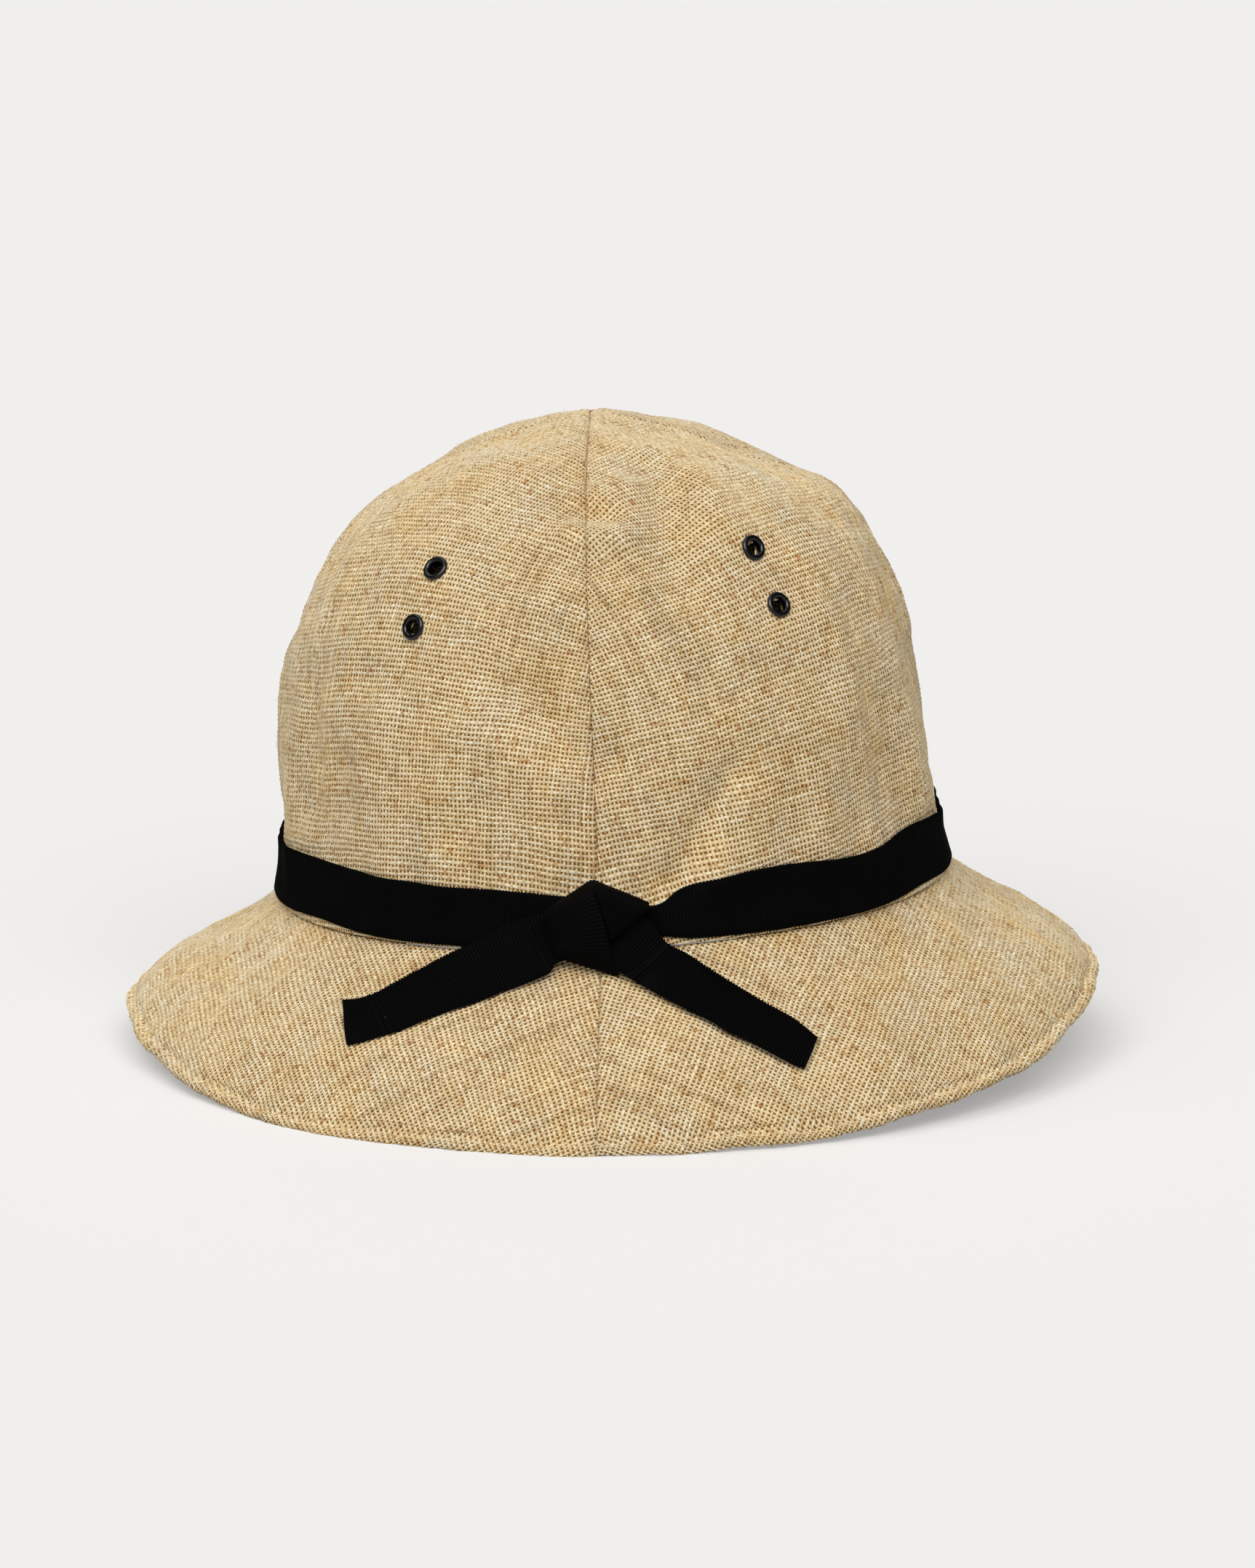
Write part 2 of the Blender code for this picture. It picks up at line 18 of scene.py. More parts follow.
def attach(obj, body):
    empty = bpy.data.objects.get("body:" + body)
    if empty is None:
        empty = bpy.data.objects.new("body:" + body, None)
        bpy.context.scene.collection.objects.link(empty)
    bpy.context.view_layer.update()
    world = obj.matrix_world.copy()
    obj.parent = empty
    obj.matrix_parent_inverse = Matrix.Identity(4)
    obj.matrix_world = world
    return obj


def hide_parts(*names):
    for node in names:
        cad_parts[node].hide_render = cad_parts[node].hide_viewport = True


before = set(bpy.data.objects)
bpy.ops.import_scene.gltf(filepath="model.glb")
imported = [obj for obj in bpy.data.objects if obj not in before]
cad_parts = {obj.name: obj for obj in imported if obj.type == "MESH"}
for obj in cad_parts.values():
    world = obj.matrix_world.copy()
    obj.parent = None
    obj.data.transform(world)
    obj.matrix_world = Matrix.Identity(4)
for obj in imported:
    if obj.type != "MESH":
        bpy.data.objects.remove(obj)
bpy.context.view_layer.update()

# Sizes, in millimetres
CROWN_HALF_WIDTH, CROWN_HALF_DEPTH, CROWN_HEIGHT = 91.5, 94.5, 128.6
CROWN_MEAN_RADIUS = (CROWN_HALF_WIDTH + CROWN_HALF_DEPTH) / 2
MERIDIAN_LENGTH = 190.0
CROWN_CLOTH = 1.2
CROWN_ROLL_DEG, CROWN_PITCH_DEG = 2.7, 0.5
AXIS_OFF_ORIGIN = 0.42
TIP_RADIUS = 0.8
JOINT_HEIGHT = 46.0
BRIM_REACH, BRIM_CLOTH, RIM_RADIUS, RIM_LIFT, RIM_SINK = 42.0, 2.2, 1.45, 21.0, 0.6
RIBBON_WIDTH, RIBBON_THICKNESS, RIB_PITCH, RIB_HEIGHT, RIB_SCALLOP = 16.0, 0.55, 0.85, 0.22, 0.70
CORNER_EASE = 8.0
EYELET_RADIUS, EYELET_HOLE_RADIUS, EYELET_BARREL_WALL, PUNCHED_RADIUS = 3.5, 1.95, 0.5, 2.75
# Between the foot of the brim and the joint or a ribbon and the cloth, and between two edges of cloth
GAP, SEAM_GAP = 0.3, 0.06
WARP_PITCH, WEFT_PITCH = 1.08, 1.40

NEAR, RIGHT, FAR, LEFT = -90.0, 0.0, 90.0, 180.0


def table(columns, rows):
    """Rows of numbers whose columns are read by name."""
    return np.array(rows, dtype=[(column, float) for column in columns.split()])


# Meridian of the crown from joint to tip: reach is a share of its half width and half depth,
# rise a share of its height
MERIDIAN = table("reach rise", [
    (1.012, 0.000), (0.990, 0.080), (0.975, 0.180), (0.965, 0.300), (0.945, 0.430), (0.905, 0.550),
    (0.845, 0.660), (0.765, 0.755), (0.635, 0.850), (0.455, 0.927), (0.225, 0.976), (0.000, 1.000),
])

# Dents (depth below 0) and ridges of the crown: each runs along a line between two places,
# given by azimuth and rise, and is so wide and deep
FOLDS = table("from_azimuth from_rise to_azimuth to_rise width depth", [
    # The outline's dents and bulges
    (2, 0.940, -38, 0.965, 14.6, -2.4),
    (34, 0.972, -40, 0.980, 9.0, -2.3),
    (16, 0.865, -12, 0.900, 14.6, -2.6),
    (28, 0.900, -6, 0.955, 11.0, -1.3),
    (-5, 0.800, 10, 0.780, 13.7, 2.0),
    (-2, 0.420, -8, 0.460, 9.0, -2.0),
    (0, 0.200, -4, 0.400, 14.6, -1.5),
    (178, 0.935, 200, 0.955, 15.6, -2.8),
    (160, 0.890, 188, 0.800, 13.0, -2.3),
    (182, 0.340, 186, 0.440, 18.3, 2.0),
    # Beside the near seam, from the top down
    (-66, 0.915, -71, 0.730, 8.0, -3.6),
    (-58, 0.900, -56, 0.800, 8.0, 2.1),
    (-79, 0.890, -80, 0.830, 6.0, 1.4),
    (-94, 0.800, -82, 0.790, 4.5, 2.9),
    (-93, 0.850, -85, 0.835, 4.5, -2.5),
    (-92, 0.740, -84, 0.735, 5.0, -1.7),
    (-91, 0.610, -86, 0.580, 6.0, -1.1),
    (-97, 0.700, -98, 0.620, 6.0, 1.2),
    (-108, 0.540, -88, 0.370, 7.0, -2.5),
    (-112, 0.440, -96, 0.300, 6.0, 1.2),
    (-100, 0.330, -99, 0.180, 7.0, 1.3),
    (-87, 0.370, -87.5, 0.170, 5.0, -2.0),
    # The near side above the ribbon
    (-66, 0.330, -77, 0.125, 5.5, -3.1),
    (-69, 0.220, -70, 0.120, 5.0, 1.50),
    (-60, 0.270, -61, 0.150, 6.0, 0.90),
    (-52, 0.420, -48, 0.140, 7.0, 1.80),
    (-40, 0.600, -41, 0.420, 8.0, 1.35),
    (-31, 0.380, -30, 0.200, 9.0, -2.10),
    (-20, 0.340, -20, 0.180, 7.0, 1.35),
    (-119, 0.300, -118, 0.150, 7.0, 1.35),
    (-130, 0.430, -129, 0.180, 8.0, 1.50),
    (-142, 0.330, -140, 0.180, 7.0, -1.20),
    (-154, 0.480, -150, 0.250, 9.0, -1.80),
    (-162, 0.300, -160, 0.170, 8.0, 1.20),
    # The far side
    (60, 0.900, 72, 0.740, 11.0, -1.2),
    (120, 0.500, 135, 0.250, 12.0, 1.4),
    (40, 0.500, 30, 0.220, 12.0, 1.2),
    (62, 0.340, 66, 0.130, 7.0, -1.4),
    (80, 0.420, 84, 0.200, 8.0, 0.9),
    (103, 0.380, 100, 0.160, 7.0, -1.2),
    (112, 0.260, 114, 0.130, 6.0, 0.8),
    (150, 0.400, 152, 0.180, 8.0, -1.1),
    (98, 0.820, 88, 0.790, 5.0, 0.9),
    (16, 0.420, 18, 0.200, 8.0, -1.0),
])

# Rim by azimuth: reach beyond the joint, and lift of its underside above the table
RIM = table("azimuth reach lift", [
    (-90, 0.900, 0.00), (-75, 0.880, 0.05), (-60, 0.900, 0.12), (-45, 0.920, 0.28), (-30, 0.940, 0.50),
    (-15, 0.960, 0.78), (0, 0.980, 0.97), (25, 0.980, 0.76), (55, 0.950, 0.20), (90, 0.900, 0.00),
    (125, 0.940, 0.05), (155, 0.980, 0.28), (180, 1.000, 0.50), (195, 0.970, 0.38), (215, 0.930, 0.12),
    (230, 0.930, 0.00), (250, 0.910, 0.00),
])

# Height of the brim's middle over a straight line from joint to rim, as a share of BRIM_REACH
BRIM_BULGE = table("way bulge", [(0.00, 0.000), (0.15, -0.010), (0.45, 0.018), (0.80, 0.042), (1.00, 0.000)])

# Eyelets: angle from the near or far seam, and rise
EYELETS = {
    "near_right_upper": (NEAR + 37.2, 0.750), "near_right_lower": (NEAR + 38.4, 0.640),
    "far_right_upper": (FAR - 36.5, 0.745), "far_right_lower": (FAR - 37.0, 0.635),
    "far_left_upper": (FAR + 36.0, 0.745), "far_left_lower": (FAR + 36.5, 0.635),
    "near_left_upper": (NEAR - 33.6, 0.740), "near_left_lower": (NEAR - 35.6, 0.630),
}


def spline(x, y, at):
    """Natural cubic spline: the least bent curve through the points (x, y), read at places.
    y may have several columns."""
    x, y = np.asarray(x, float), np.asarray(y, float)
    columns = y.reshape(len(x), -1)
    count, step = len(x), np.diff(x)
    slope = np.diff(columns, axis=0) / step[:, None]
    matrix = np.eye(count)
    right = np.zeros_like(columns)
    for i in range(1, count - 1):
        matrix[i, i - 1:i + 2] = step[i - 1], 2 * (step[i - 1] + step[i]), step[i]
        right[i] = 6 * (slope[i] - slope[i - 1])
    bend = np.linalg.solve(matrix, right)
    at = np.asarray(at, float)
    i = np.clip(np.searchsorted(x, at, side="right") - 1, 0, count - 2)
    left, rest, width = (at - x[i])[..., None], (x[i + 1] - at)[..., None], step[i][..., None]
    curve = (bend[i] * rest**3 + bend[i + 1] * left**3) / (6 * width)
    curve += (columns[i] / width - bend[i] * width / 6) * rest
    curve += (columns[i + 1] / width - bend[i + 1] * width / 6) * left
    return curve.reshape(at.shape + y.shape[1:])


def round_spline(rows, column, azimuth):
    """A column of a table by azimuth, read at any azimuth on a spline that closes on itself."""
    x = np.concatenate([rows["azimuth"] + turn for turn in (-360, 0, 360)])
    return spline(x, np.tile(rows[column], 3), (azimuth - NEAR) % 360 + NEAR)


def smooth(share):
    """0 below 0, 1 above 1, and an even S between: 3 t squared less 2 t cubed."""
    t = np.clip(share, 0, 1)
    return t * t * (3 - 2 * t)


def unit(vector):
    """Vectors shortened or drawn out to length 1."""
    return vector / np.linalg.norm(vector, axis=-1, keepdims=True)


def ripple(point, seed, longest, shortest, height):
    """A gentle unevenness: the sum of two dozen plane waves through space, each with its own
    direction, phase and wavelength between the two, so it is smooth and never repeats."""
    chance = np.random.default_rng(seed)
    total = np.zeros(point.shape[:-1])
    for _ in range(24):
        direction = chance.normal(size=3)
        length = longest * (shortest / longest) ** chance.random()
        direction *= 2 * np.pi / length / np.linalg.norm(direction)
        total += np.sin(point @ direction + chance.random() * 2 * np.pi) * (length / longest) ** 0.6
    return total * height / 3.5


def meridian(along):
    """Reach and rise at a share of the way along the meridian."""
    steps = np.hypot(np.diff(MERIDIAN["reach"]), np.diff(MERIDIAN["rise"]))
    knots = np.concatenate([[0], np.cumsum(steps)]) / steps.sum()
    both = spline(knots, np.stack([MERIDIAN["reach"], MERIDIAN["rise"]], -1), along)
    return both[..., 0], both[..., 1]


def along_at(rise):
    """The share of the way along the meridian at which it has risen so far."""
    along = np.linspace(0, 1, 401)
    return np.interp(rise, meridian(along)[1], along)


def level(azimuth):
    """Level direction of length 1 at an azimuth."""
    angle = np.radians(azimuth)
    return np.stack([np.cos(angle), np.sin(angle), np.zeros(angle.shape)], -1)


def leaning(point):
    """A point of the upright crown in its place on the leaning joint."""
    pitch = Matrix.Rotation(np.radians(CROWN_PITCH_DEG), 3, "X")
    roll = Matrix.Rotation(np.radians(-CROWN_ROLL_DEG), 3, "Y")
    return point @ np.array(pitch @ roll).T + (AXIS_OFF_ORIGIN, 0, JOINT_HEIGHT)


def smooth_crown(azimuth, along):
    """Crown before its folds and lean, and its outward normal: a meridian turned round an oval."""
    outward, upright = level(azimuth), np.array([0, 0, 1])
    reach, rise = meridian(along)
    high, low = meridian(along + 1e-4), meridian(along - 1e-4)
    sideways = (high[0] - low[0]) * CROWN_MEAN_RADIUS
    upwards = (high[1] - low[1]) * CROWN_HEIGHT
    normal = unit(outward * upwards[..., None] - upright * sideways[..., None])
    point = outward * reach[..., None] * (CROWN_HALF_WIDTH, CROWN_HALF_DEPTH, 0)
    return point + upright * (CROWN_HEIGHT * rise)[..., None], normal


def fold_height(point):
    """How far the folds push the cloth out: each is a Gaussian of the distance from its line."""
    height = np.zeros(point.shape[:-1])
    for fold in FOLDS:
        ends = smooth_crown(np.array([fold["from_azimuth"], fold["to_azimuth"]]),
                            along_at(np.array([fold["from_rise"], fold["to_rise"]])))[0]
        line = ends[1] - ends[0]
        share = np.clip((point - ends[0]) @ line / (line @ line), 0, 1)
        away = np.linalg.norm(point - ends[0] - share[..., None] * line, axis=-1)
        height += fold["depth"] * np.exp(-(away / fold["width"])**2)
    return height


def beside_seam(away, shoulder, groove):
    """Height of the folded cloth so far from a seam: a soft shoulder, less a narrow groove."""
    return shoulder * np.exp(-((away - 2.6) / 1.7)**2) - groove * np.exp(-(away / 0.6)**2)


def seam_height(azimuth, along):
    """The cloth near a seam: it dips into the seam, and puckers beside it where it is sewn. The
    seams fade out below the tip, where the cloth of all four gores stands up a little."""
    reach = meridian(along)[0]
    off = np.abs((azimuth + 45) % 90 - 45)
    away = np.radians(off) * reach * CROWN_MEAN_RADIUS
    seam = np.rint(azimuth / 90) % 4
    run = along * MERIDIAN_LENGTH
    pucker = 0.24 * np.sin(run / 5.1 + 1.9 * np.sin(run / 17 + seam) + seam * 2) * np.exp(-away / 7)
    fading = smooth((0.992 - along) / 0.05)
    tip = np.exp(-(reach * CROWN_HALF_WIDTH / 1.8)**2)
    return (pucker + beside_seam(away, 0.28, 0.72)) * fading + tip


def crown(azimuth, along, out=0.0, seams=1.0):
    """Crown with its folds, leaning on the joint, out mm off its outer face. seams is 0 for a
    ribbon, which bridges them."""
    azimuth, along, out = np.broadcast_arrays(np.asarray(azimuth, float), np.asarray(along, float), out)
    point, normal = smooth_crown(azimuth, along)
    uneven = ripple(point, 5, 60, 14, 0.55) + ripple(point, 8, 16, 6, 0.16)
    lift = fold_height(point) + seam_height(azimuth, along) * seams + uneven * smooth(along * 14)
    return leaning(point + normal * (lift + out)[..., None])


def brim(azimuth, way, beyond=0.0, across=0.0, seams=1.0):
    """Middle of the brim's wall at a share of the way out to the middle of its rolled edge, beyond
    mm further along, and across mm off it, flat where it would go under the table. It is a
    straight line from the joint to the rim, bulged by BRIM_BULGE. seams is 0 for a ribbon,
    which bridges them."""
    azimuth, way = np.asarray(azimuth, float), np.asarray(way, float)
    azimuth, way, beyond, across = np.broadcast_arrays(azimuth, way, beyond, across)
    outward = level(azimuth)
    foot = leaning(smooth_crown(azimuth, np.zeros(azimuth.shape))[0]) - outward * CROWN_CLOTH
    foot[..., 2] -= GAP
    reach = BRIM_REACH * round_spline(RIM, "reach", azimuth) + CROWN_CLOTH - RIM_RADIUS
    edge = foot + outward * reach[..., None]
    edge[..., 2] = RIM_LIFT * round_spline(RIM, "lift", azimuth) - RIM_SINK + RIM_RADIUS
    chord = edge - foot
    length = np.linalg.norm(chord, axis=-1)
    normal = outward * -chord[..., 2:]
    normal[..., 2] = reach
    normal /= length[..., None]
    foot = foot - normal * BRIM_CLOTH / 2
    middle = foot + (edge - foot) * way[..., None] + chord * (beyond / length)[..., None]
    bulge = BRIM_REACH * spline(BRIM_BULGE["way"], BRIM_BULGE["bulge"], way)
    off = np.abs((azimuth + 180) % 180 - 90)
    away = np.radians(off) * (CROWN_HALF_DEPTH + reach * way)
    seam = beside_seam(away, 0.22, 0.65) * np.sign(across)
    pucker = 0.14 * np.sin(length * way / 4.7 + 1.7 * np.sin(way * 4)) * np.exp(-away / 7)
    uneven = ripple(middle, 11, 55, 12, 0.50) + ripple(middle, 3, 14, 6, 0.16)
    lift = bulge + across + (seam + pucker) * seams + uneven * smooth(way * 4)
    point = middle + normal * lift[..., None]
    point[..., 2] = np.maximum(point[..., 2], 0)
    return point


def brim_length(azimuth):
    """Length of the brim from joint to rim."""
    return np.linalg.norm(brim(azimuth, 1.0) - brim(azimuth, 0.0), axis=-1)


def laid(across, up):
    """The near side as a ribbon lies on it: on the wall, on the brim, and eased round the corner.

    across is the distance from the near seam, up the distance up from the joint, below 0 down
    the brim. Within CORNER_EASE of the joint the ribbon bridges the corner on a parabola.
    """
    across, up = np.broadcast_arrays(np.asarray(across, float), np.asarray(up, float))
    radius = CROWN_HALF_DEPTH + np.maximum(-up, 0) * BRIM_REACH / (BRIM_REACH + JOINT_HEIGHT / 2)
    azimuth = NEAR + np.degrees(across / radius)
    share = np.clip((up + CORNER_EASE) / (2 * CORNER_EASE), 0, 1)[..., None]
    top = crown(azimuth, along_at(np.maximum(up, CORNER_EASE) / CROWN_HEIGHT), seams=0.0)
    corner = crown(azimuth, np.zeros(azimuth.shape), seams=0.0)
    way = np.maximum(-up, CORNER_EASE) / brim_length(azimuth)
    bottom = brim(azimuth, way, across=BRIM_CLOTH / 2, seams=0.0)
    return bottom * (1 - share)**2 + corner * 2 * share * (1 - share) + top * share**2


def laid_off(across, up, out):
    """The laid surface, out mm off it along its normal."""
    sideways = laid(across + 0.6, up) - laid(across - 0.6, up)
    upwards = laid(across, up + 0.6) - laid(across, up - 0.6)
    return laid(across, up) + unit(np.cross(sideways, upwards)) * np.asarray(out, float)[..., None]


# Materials and meshes

def linear(colour):
    """An sRGB hex colour as linear light."""
    value = np.array([int(colour[i:i + 2], 16) for i in (1, 3, 5)]) / 255
    return (*np.where(value <= 0.04045, value / 12.92, ((value + 0.055) / 1.055) ** 2.4), 1.0)


def node(tree, kind, *inputs, out=0, **settings):
    """Adds a node and returns one of its outputs. Inputs go to its sockets in order, each a number,
    a colour, another node's output or None; settings are its properties, or sockets by name."""
    added = tree.nodes.new("ShaderNode" + kind)
    sockets = dict(enumerate(inputs))
    for name, value in settings.items():
        if hasattr(added, name):
            setattr(added, name, value)
        else:
            sockets[name.replace("_", " ")] = value
    for name, value in sockets.items():
        if isinstance(value, bpy.types.NodeSocket):
            tree.links.new(value, added.inputs[name])
        elif value is not None:
            added.inputs[name].default_value = value
    return added.outputs[out] if added.outputs else added


def ramp(tree, factor, *stops):
    """Colours by a factor: a Color Ramp through (place, sRGB hex) stops, lowest place first."""
    output = node(tree, "ValToRGB", factor)
    elements = output.node.color_ramp.elements
    elements[0].position, elements[1].position = stops[0][0], stops[-1][0]
    elements[0].color, elements[1].color = linear(stops[0][1]), linear(stops[-1][1])
    for place, colour in stops[1:-1]:
        elements.new(place).color = linear(colour)
    return output


def new_material(name):
    """An empty material, its node tree and its output node."""
    material = bpy.data.materials.new(name)
    material.use_nodes = True
    material.node_tree.nodes.clear()
    return material, material.node_tree


def woven_raffia():
    """Natural cloth for hats, a plain weave of paper-raffia threads, dry and matte.

    Two sets of threads cross on the flat cut, WARP_PITCH and WEFT_PITCH apart, on the lattice
    that the mesh of the cloth is made on. A thread is a half round that rises over every other
    crossing and dips under the rest, and the higher of the two shows. Threads swell and thin
    along their length, each has its own tone from cream to tan with orange-brown flecks, and
    painted shade darkens the open spaces between them, the threads' sides and their edges.
    """
    material, tree = new_material("woven_paper_raffia")

    def maths(operation, *values):
        return node(tree, "Math", *values, operation=operation)

    def noise(vector, scale, detail=2.0, roughness=0.5, **settings):
        return node(tree, "TexNoise", vector, Scale=scale, Detail=detail, Roughness=roughness, **settings)

    # Noise drawn out along the threads: each of its two ways has its own scale
    def streaks(x, x_scale, y, y_scale, z=0.0, scale=1.0, detail=2.0, roughness=0.5):
        stretched = node(tree, "CombineXYZ", maths("MULTIPLY", x, x_scale), maths("MULTIPLY", y, y_scale), z)
        return noise(stretched, scale, detail, roughness)

    # The mesh carries the threads' wander; within a crossing they shift a little more
    flat = node(tree, "UVMap", uv_map="threads")
    jitter = node(tree, "VectorMath", noise(flat, 0.5, out=1), (0.5, 0.5, 0.5), operation="SUBTRACT")
    jitter = node(tree, "VectorMath", jitter, Scale=0.45, operation="SCALE")
    place = node(tree, "SeparateXYZ", node(tree, "VectorMath", flat, jitter, operation="ADD"))
    across = maths("DIVIDE", place, WARP_PITCH)
    down = maths("DIVIDE", place.node.outputs[1], WEFT_PITCH)
    column, row = maths("FLOOR", across), maths("FLOOR", down)

    # A set of threads: its half-round section, the root of one less the square of the distance
    # from the thread's middle, and its height, with a cosine along the thread, turned round from
    # one thread to the next, that takes it over and under. Slubs make it wider and narrower
    def thread_set(position, along, number, slub, half, swing):
        half = maths("MULTIPLY_ADD", slub, 0.34, half)
        off = maths("DIVIDE", maths("ABSOLUTE", maths("SUBTRACT", maths("FRACT", position), 0.5)), half)
        section = maths("SQRT", maths("MAXIMUM", maths("SUBTRACT", 1.0, maths("MULTIPLY", off, off)), 0.0))
        turn = maths("MULTIPLY", maths("ADD", maths("SUBTRACT", along, 0.5), number), np.pi)
        height = maths("MULTIPLY_ADD", maths("COSINE", turn), swing, maths("MULTIPLY", section, 0.75))
        seen, floor = maths("GREATER_THAN", section, 0.02), -0.6
        return section, maths("MULTIPLY_ADD", seen, maths("SUBTRACT", height, floor), floor)

    warp_slub = streaks(column, 3.7, down, 0.16, detail=3.0)
    weft_slub = streaks(across, 0.14, row, 3.1, 40.0, detail=3.0)
    warp_section, warp_height = thread_set(across, down, column, warp_slub, 0.12, 0.42)
    weft_section, weft_height = thread_set(down, across, row, weft_slub, 0.13, -0.42)
    height = maths("SMOOTH_MAX", warp_height, weft_height, 0.12)
    warp_shows = maths("GREATER_THAN", warp_height, weft_height)

    def of_top(weft, warp):
        return node(tree, "Mix", warp_shows, None, weft, warp, data_type="FLOAT")

    # Shades: a thread's own, its slubs', and wide patches of lighter and darker cloth
    warp_own = node(tree, "TexWhiteNoise", W=column, noise_dimensions="1D")
    weft_own = node(tree, "TexWhiteNoise", W=maths("ADD", row, 500.5), noise_dimensions="1D")
    warp_shade = streaks(column, 5.3, down, 0.33, 7.0, detail=4.0, roughness=0.65)
    weft_shade = streaks(across, 0.28, row, 4.9, 90.0, detail=4.0, roughness=0.65)
    warp_shade = maths("MULTIPLY_ADD", warp_own, 0.20, maths("MULTIPLY_ADD", warp_shade, 1.35, -0.29))
    weft_shade = maths("MULTIPLY_ADD", weft_own, 0.18, maths("MULTIPLY_ADD", weft_shade, 1.35, -0.24))
    patches = maths("MULTIPLY_ADD", noise(flat, 0.045, 3.0, 0.6), 0.40, -0.20)
    thread = ramp(tree, maths("ADD", of_top(weft_shade, warp_shade), patches), (0.0, "#bd9b69"),
                  (0.28, "#dcc497"), (0.52, "#efdebd"), (0.78, "#faf0d8"), (1.0, "#fff9ec"))

    # Wide patches where the straw is paler, or more golden
    golden = node(tree, "MapRange", noise(flat, 0.06, 4.0, 0.65), 0.36, 0.64)
    tint = node(tree, "MixRGB", golden, linear("#fbfbfb"), linear("#fff6e2"))
    thread = node(tree, "MixRGB", 1.0, thread, tint, blend_type="MULTIPLY")

    # Orange-brown flecks, a few threads long
    fleck = streaks(across, 1.0, down, 0.6, scale=0.9, detail=1.0)
    fleck = maths("MULTIPLY", noise(flat, 0.30, 3.0, 0.7), fleck)
    fleck = node(tree, "MapRange", fleck, 0.29, 0.42, 0.0, 0.85)
    thread = node(tree, "MixRGB", fleck, thread, linear("#c08a48"))

    # Painted shade: the deeper a point of the relief, the darker and browner its colour, first the sides of
    # threads, then the open spaces
    depth = node(tree, "MapRange", height, -0.55, 0.95, 0.0, 1.0)
    shadow = ramp(tree, depth, (0.0, "#cdb774"), (0.22, "#d3bf80"), (0.42, "#e8dab0"), (0.68, "#fbf5e4"),
                  (1.0, "#ffffff"))
    colour = node(tree, "MixRGB", 1.0, thread, shadow, blend_type="MULTIPLY")

    # Painted shade: each thread is darkened where it rounds off against the one that it crosses
    section = of_top(weft_section, warp_section)
    painted_edge_shade = ramp(tree, section, (0.0, "#b49d6b"), (0.40, "#e9dec2"), (0.70, "#ffffff"))
    colour = node(tree, "MixRGB", 1.0, colour, painted_edge_shade, blend_type="MULTIPLY")

    # Fibres drawn out along the threads give each a fine grain
    grain = of_top(streaks(across, 0.8, down, 9.0), streaks(across, 9.0, down, 0.8))
    relief = maths("MULTIPLY_ADD", grain, 0.10, height)
    bump = node(tree, "Bump", Strength=1.0, Distance=0.00028, Height=relief)
    shader = node(tree, "BsdfPrincipled", colour, Roughness=0.78, Normal=bump, Specular_IOR_Level=0.35,
                  Sheen_Weight=0.12, Sheen_Roughness=0.6)
    node(tree, "OutputMaterial", shader)
    return material


def black_grosgrain():
    """Ribbon of black viscose grosgrain: matte, with a faint blue-grey sheen on its ribs, whose
    fine warp threads run along the ribbon. The ribs themselves are in its mesh."""
    material, tree = new_material("black_viscose_grosgrain")
    flat = node(tree, "UVMap", uv_map="threads")
    fine = node(tree, "VectorMath", flat, (1.2, 16.0, 1.0), operation="MULTIPLY")
    threads = node(tree, "TexNoise", fine, Scale=0.7, Detail=2.0)
    worn = node(tree, "TexNoise", flat, Scale=0.12, Detail=3.0)
    shade = node(tree, "Math", threads, node(tree, "Math", worn, 0.6, operation="MULTIPLY"), operation="ADD")
    shade = node(tree, "MapRange", shade, 0.45, 1.15)
    colour = ramp(tree, shade, (0.0, "#020202"), (0.6, "#030303"), (1.0, "#070708"))
    bump = node(tree, "Bump", Strength=0.5, Distance=0.00006, Height=threads)
    shader = node(tree, "BsdfPrincipled", colour, Roughness=0.7, Normal=bump, Specular_IOR_Level=0.05)
    node(tree, "OutputMaterial", shader)
    return material


def black_enamel():
    """Brass eyelet under baked black enamel: glossy, and a little rubbed in fine specks all over."""
    material, tree = new_material("black_enamelled_brass")
    place = node(tree, "TexCoord", out=3)
    rubbed = node(tree, "TexNoise", place, Scale=900.0, Detail=4.0)
    colour = ramp(tree, rubbed, (0.3, "#040404"), (0.75, "#0a0a0b"))
    roughness = node(tree, "MapRange", rubbed, 0.3, 0.8, 0.20, 0.38)
    bump = node(tree, "Bump", Strength=0.3, Distance=0.00003, Height=rubbed)
    shader = node(tree, "BsdfPrincipled", colour, Roughness=roughness, Normal=bump, Coat_Weight=0.15)
    node(tree, "OutputMaterial", shader)
    return material


def raffia_fibre():
    """Loose fibres of the cloth: dry, pale straw."""
    material, tree = new_material("loose_raffia_fibre")
    place = node(tree, "TexCoord", out=3)
    colour = ramp(tree, node(tree, "TexNoise", place, Scale=260.0), (0.3, "#c9a163"), (0.7, "#f0dcb0"))
    node(tree, "OutputMaterial", node(tree, "BsdfPrincipled", colour, Roughness=0.7))
    return material


